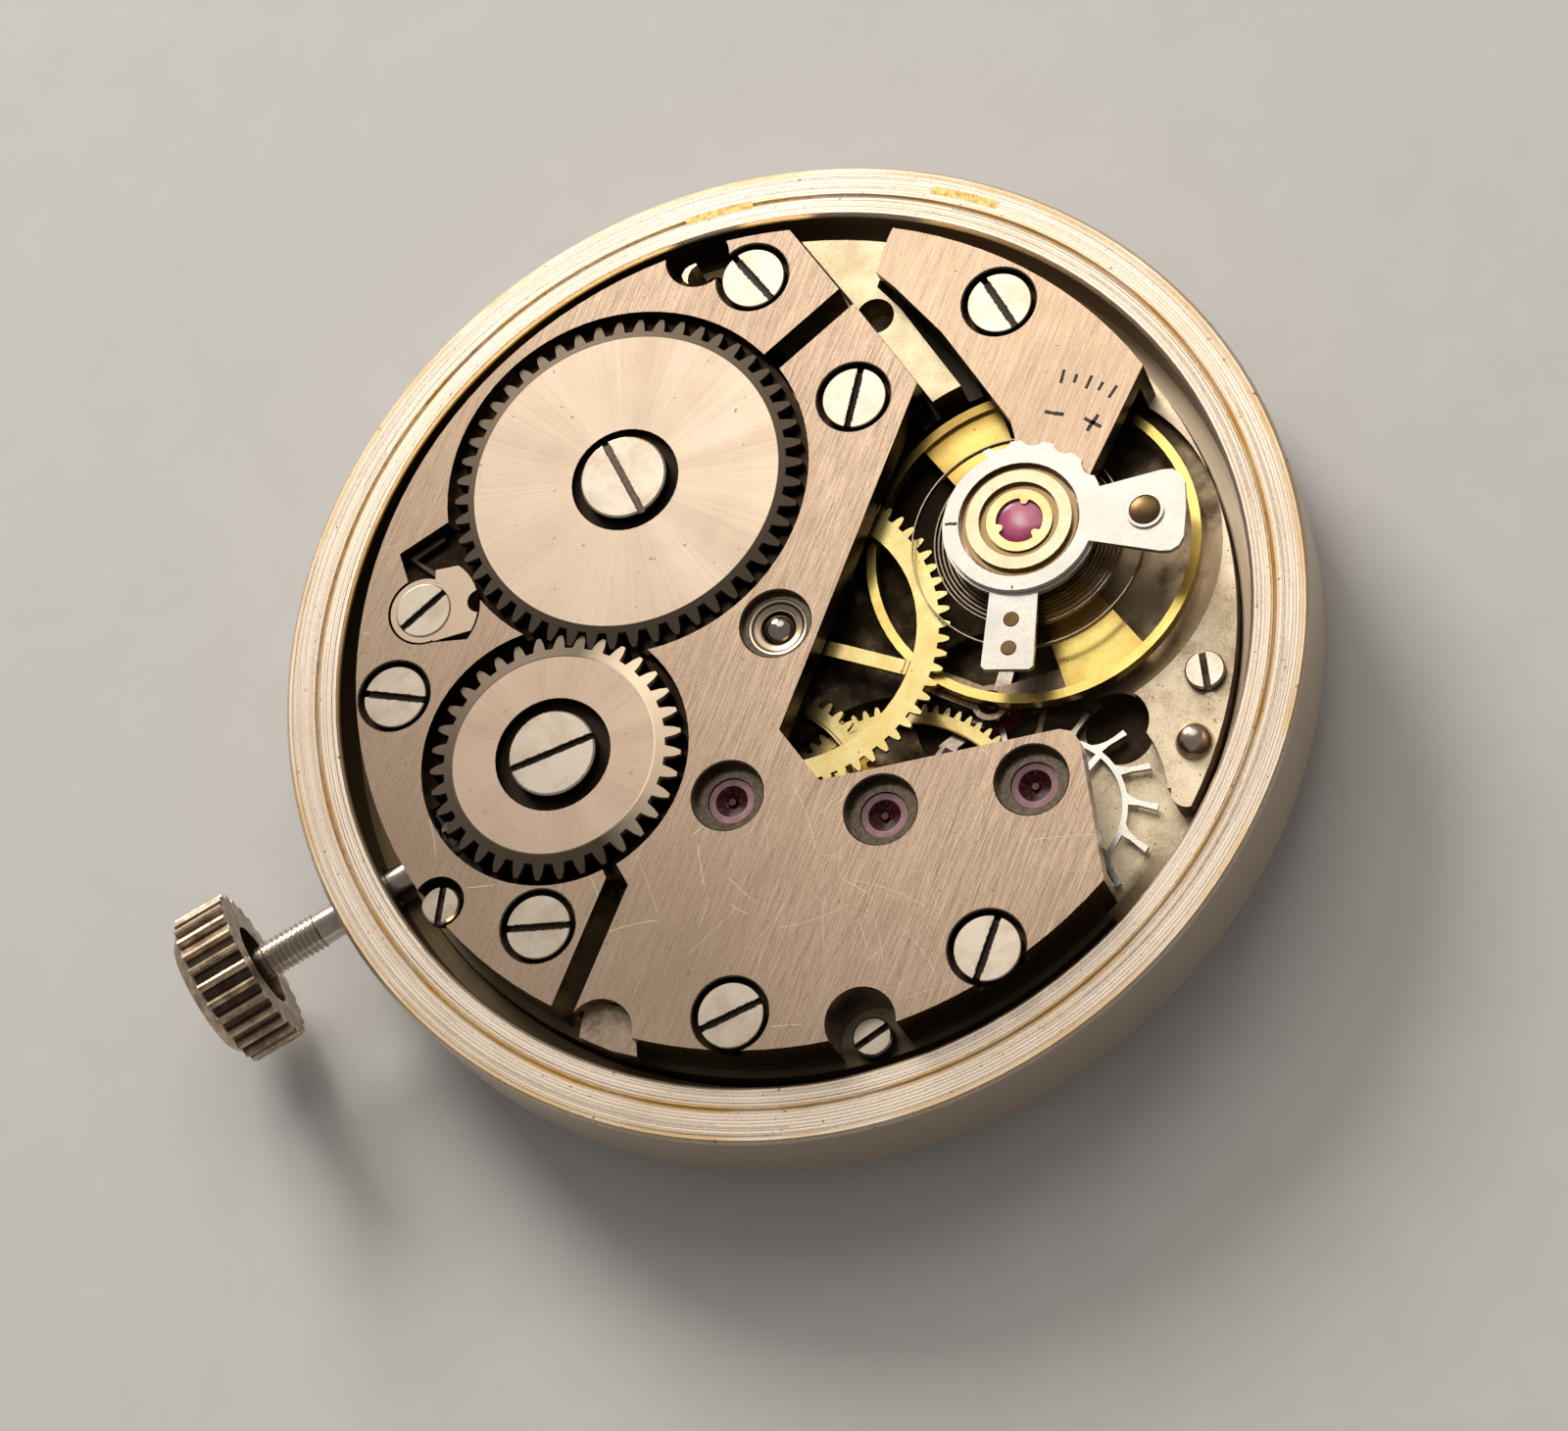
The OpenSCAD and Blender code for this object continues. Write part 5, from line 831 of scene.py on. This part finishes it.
# The threaded end of the winding stem, between the ring and the crown
thread_from, thread_to = -15.30, -17.0
core_r, root_r, crest_r = 0.470, 0.482, 0.530
sides = 32
profile = [(thread_from, core_r)]
while profile[-1][0] > thread_to:
    x = profile[-1][0]
    profile += [(x - 0.06, root_r), (x - 0.10, crest_r), (x - 0.12, crest_r), (x - 0.16, root_r)]
profile.append((profile[-1][0] - 0.05, core_r))
around_stem = [(math.cos(math.tau * j / sides), math.sin(math.tau * j / sides)) for j in range(sides)]
thread = Shape()
thread.add([(x, r * c, STEM_Z + r * s) for x, r in profile for c, s in around_stem],
           [(sides * i + j, sides * i + (j + 1) % sides, sides * i + sides + (j + 1) % sides, sides * i + sides + j)
            for i in range(len(profile) - 1) for j in range(sides)])
piece("stem_thread", thread, steel, "stem")

# Two shallow oblong cuts on the ring, showing brass
cuts = Shape()
cut_width, cut_steps = 0.24, 16
for r, first, last in ((13.66, 67.0, 75.5), (14.02, 36.5, 45.0)):
    path = [polar(CENTRE, r, first + (last - first) * i / cut_steps) for i in range(cut_steps + 1)]
    cuts.ribbon(path, cut_width, RING_TOP - 0.02, RING_TOP + 0.0012)
piece("ring_cuts", cuts, brass_cut, "frame")


def slab(name, outline, z0, z1, mat):
    """A flat piece of the frame with an outline in plan."""
    n = len(outline)
    shape = Shape()
    shape.add([(x, y, z) for z in (z0, z1) for x, y in outline],
              [(i, (i + 1) % n, n + (i + 1) % n, n + i) for i in range(n)]
              + [tuple(range(n - 1, -1, -1)), tuple(range(n, 2 * n))])
    piece(name, shape, mat, "frame")


# A step in the train bridge's rim notch, and a painted highlight on the casing hole's lip in the barrel bridge's notch
step_outline = [(-9.35, -6.80), (-8.62, -7.50), (-8.58, -8.20), (-8.90, -8.94), (-9.42, -8.44), (-10.05, -7.60),
                (-9.67, -7.09)]
slab("bridge_step", step_outline, z0=2.45, z1=2.95, mat=step_metal)
lip_outline = [(3.07, 11.85), (2.86, 11.88), (2.71, 11.86), (2.54, 11.73), (2.51, 11.55), (2.58, 11.36), (2.61, 11.48),
               (2.70, 11.62), (2.87, 11.74), (3.07, 11.78)]
slab("casing_hole_lip", lip_outline, z0=1.50, z1=2.60, mat=edge_bright)

# Crisp tool lines round the top of the ring, some of them brass
tool_rnd = random.Random(5)
tool_lines, gold_lines = Shape(), Shape()
line_count, gold_every = 76, 6
for i in range(line_count):
    r, first = tool_rnd.uniform(13.10, 14.42), tool_rnd.uniform(0, 360)
    extent, width = tool_rnd.uniform(20, 110), tool_rnd.uniform(0.006, 0.016)
    steps = max(8, round(extent / 2))
    path = [polar(CENTRE, r, first + extent * j / steps) for j in range(steps + 1)]
    (tool_lines if i % gold_every else gold_lines).ribbon(path, width, RING_TOP - 0.01, RING_TOP + 0.0009)
piece("ring_tool_lines", tool_lines, tool_mark, "frame")
piece("ring_gold_lines", gold_lines, brass_cut, "frame")

# Scratches of use on the bridges, only where the flat top lies under them
depsgraph = bpy.context.evaluated_depsgraph_get()
tops = [BVHTree.FromObject(nodes[n], depsgraph) for n in ("barrel_bridge", "train_bridge", "balance_cock")]


def on_top(x, y):
    """Whether the flat top of a bridge lies at this place in plan."""
    above, near = 10, 0.003
    for tree in tops:
        hit = tree.ray_cast(Vector((x, y, above)) * MM, Vector((0, 0, -1)))[0]
        if hit is not None and abs(hit.z / MM - BRIDGE_TOP) < near:
            return True
    return False


lines = Shape()
# fields of scratches as (centre, spread, count)
fields = (((-4.5, -8.5), 4.2, 34), ((1.0, -9.5), 3.6, 30), ((-2.0, -6.0), 3.2, 14), ((-9.0, -2.6), 2.6, 14),
          ((3.4, 2.8), 3.0, 10), ((9.0, 6.0), 2.6, 10), ((-9.5, 8.2), 2.6, 10), ((0.8, 11.2), 1.6, 5))
steps, fewest_points = 12, 4
for centre, spread, count in fields:
    for _ in range(count):
        x, y = centre[0] + rnd.uniform(-spread, spread), centre[1] + rnd.uniform(-spread, spread)
        heading, bend = rnd.uniform(0, math.pi), rnd.uniform(-0.5, 0.5)
        length, width = rnd.uniform(0.35, 2.2), rnd.uniform(0.006, 0.016)
        path = []
        for i in range(steps + 1):
            if not on_top(x, y):
                break
            path.append((x, y))
            x, y = x + length / steps * math.cos(heading), y + length / steps * math.sin(heading)
            heading += bend / steps
        if len(path) >= fewest_points:
            lines.ribbon(path, width, BRIDGE_TOP - 0.004, BRIDGE_TOP + 0.0008)
piece("bridge_scratches", lines, scratch, "frame")

# Floor, light and camera
floor_z = cad_box[0].z
half = 2
me = bpy.data.meshes.new("floor")
me.from_pydata([(-half, -half, floor_z), (half, -half, floor_z), (half, half, floor_z), (-half, half, floor_z)],
               [], [(0, 1, 2, 3)])
floor = bpy.data.objects.new("floor", me)
bpy.context.scene.collection.objects.link(floor)
k = Look("floor_paper")
paper = k.ramp(k.noise(k.place, 0.5, 4, 0.6), (0.3, (0.77, 0.765, 0.755)), (0.7, (0.80, 0.795, 0.785)))
me.materials.append(k.finish(paper, 0.8, 0.0))

world = bpy.data.worlds.new("studio")
bpy.context.scene.world = world
world.use_nodes = True
back = world.node_tree.nodes["Background"]
back.inputs["Color"].default_value = (1.0, 0.955, 0.90, 1)
back.inputs["Strength"].default_value = 0.20


def lamp(name, at, size, level, color):
    """A round soft lamp aimed at the origin, whose face shines at the given level."""
    data = bpy.data.lights.new(name, "AREA")
    data.shape = "DISK"
    data.size = size
    data.energy = level * math.pi * math.pi * size * size / 4
    data.color = color
    ob = bpy.data.objects.new(name, data)
    bpy.context.scene.collection.objects.link(ob)
    at = Vector(at)
    ob.matrix_world = Matrix.Translation(at) @ (-at).to_track_quat("-Z", "Y").to_matrix().to_4x4()


lamp("soft", (0.14, 0.25, 0.39), 0.36, 1.45, (1.0, 0.93, 0.83))
lamp("window", (-0.02, 0.47, 0.24), 0.25, 14, (1.0, 0.95, 0.89))

cam_data = bpy.data.cameras.new("camera")
cam_data.sensor_width = 36
cam_data.lens = 101.25
cam_data.clip_start = 0.005
cam_data.clip_end = 10
cam = bpy.data.objects.new("camera", cam_data)
bpy.context.scene.collection.objects.link(cam)
cam_place = Vector((4.245, -57.337, 109.58)) * MM
cam_right, cam_up = Vector((0.8609, -0.4337, -0.2662)), Vector((0.5069, 0.7761, 0.3749))
cam_back = Vector((0.0441, -0.4577, 0.8880))
cam_turn = Matrix((cam_right, cam_up, cam_back)).transposed().to_4x4()
cam.matrix_world = Matrix.Translation(cam_place) @ cam_turn
bpy.context.scene.camera = cam
bpy.context.scene.view_settings.view_transform = "Standard"


def flat(box):
    """A box's corners as plain lists."""
    return [[float(x) for x in corner] for corner in box]
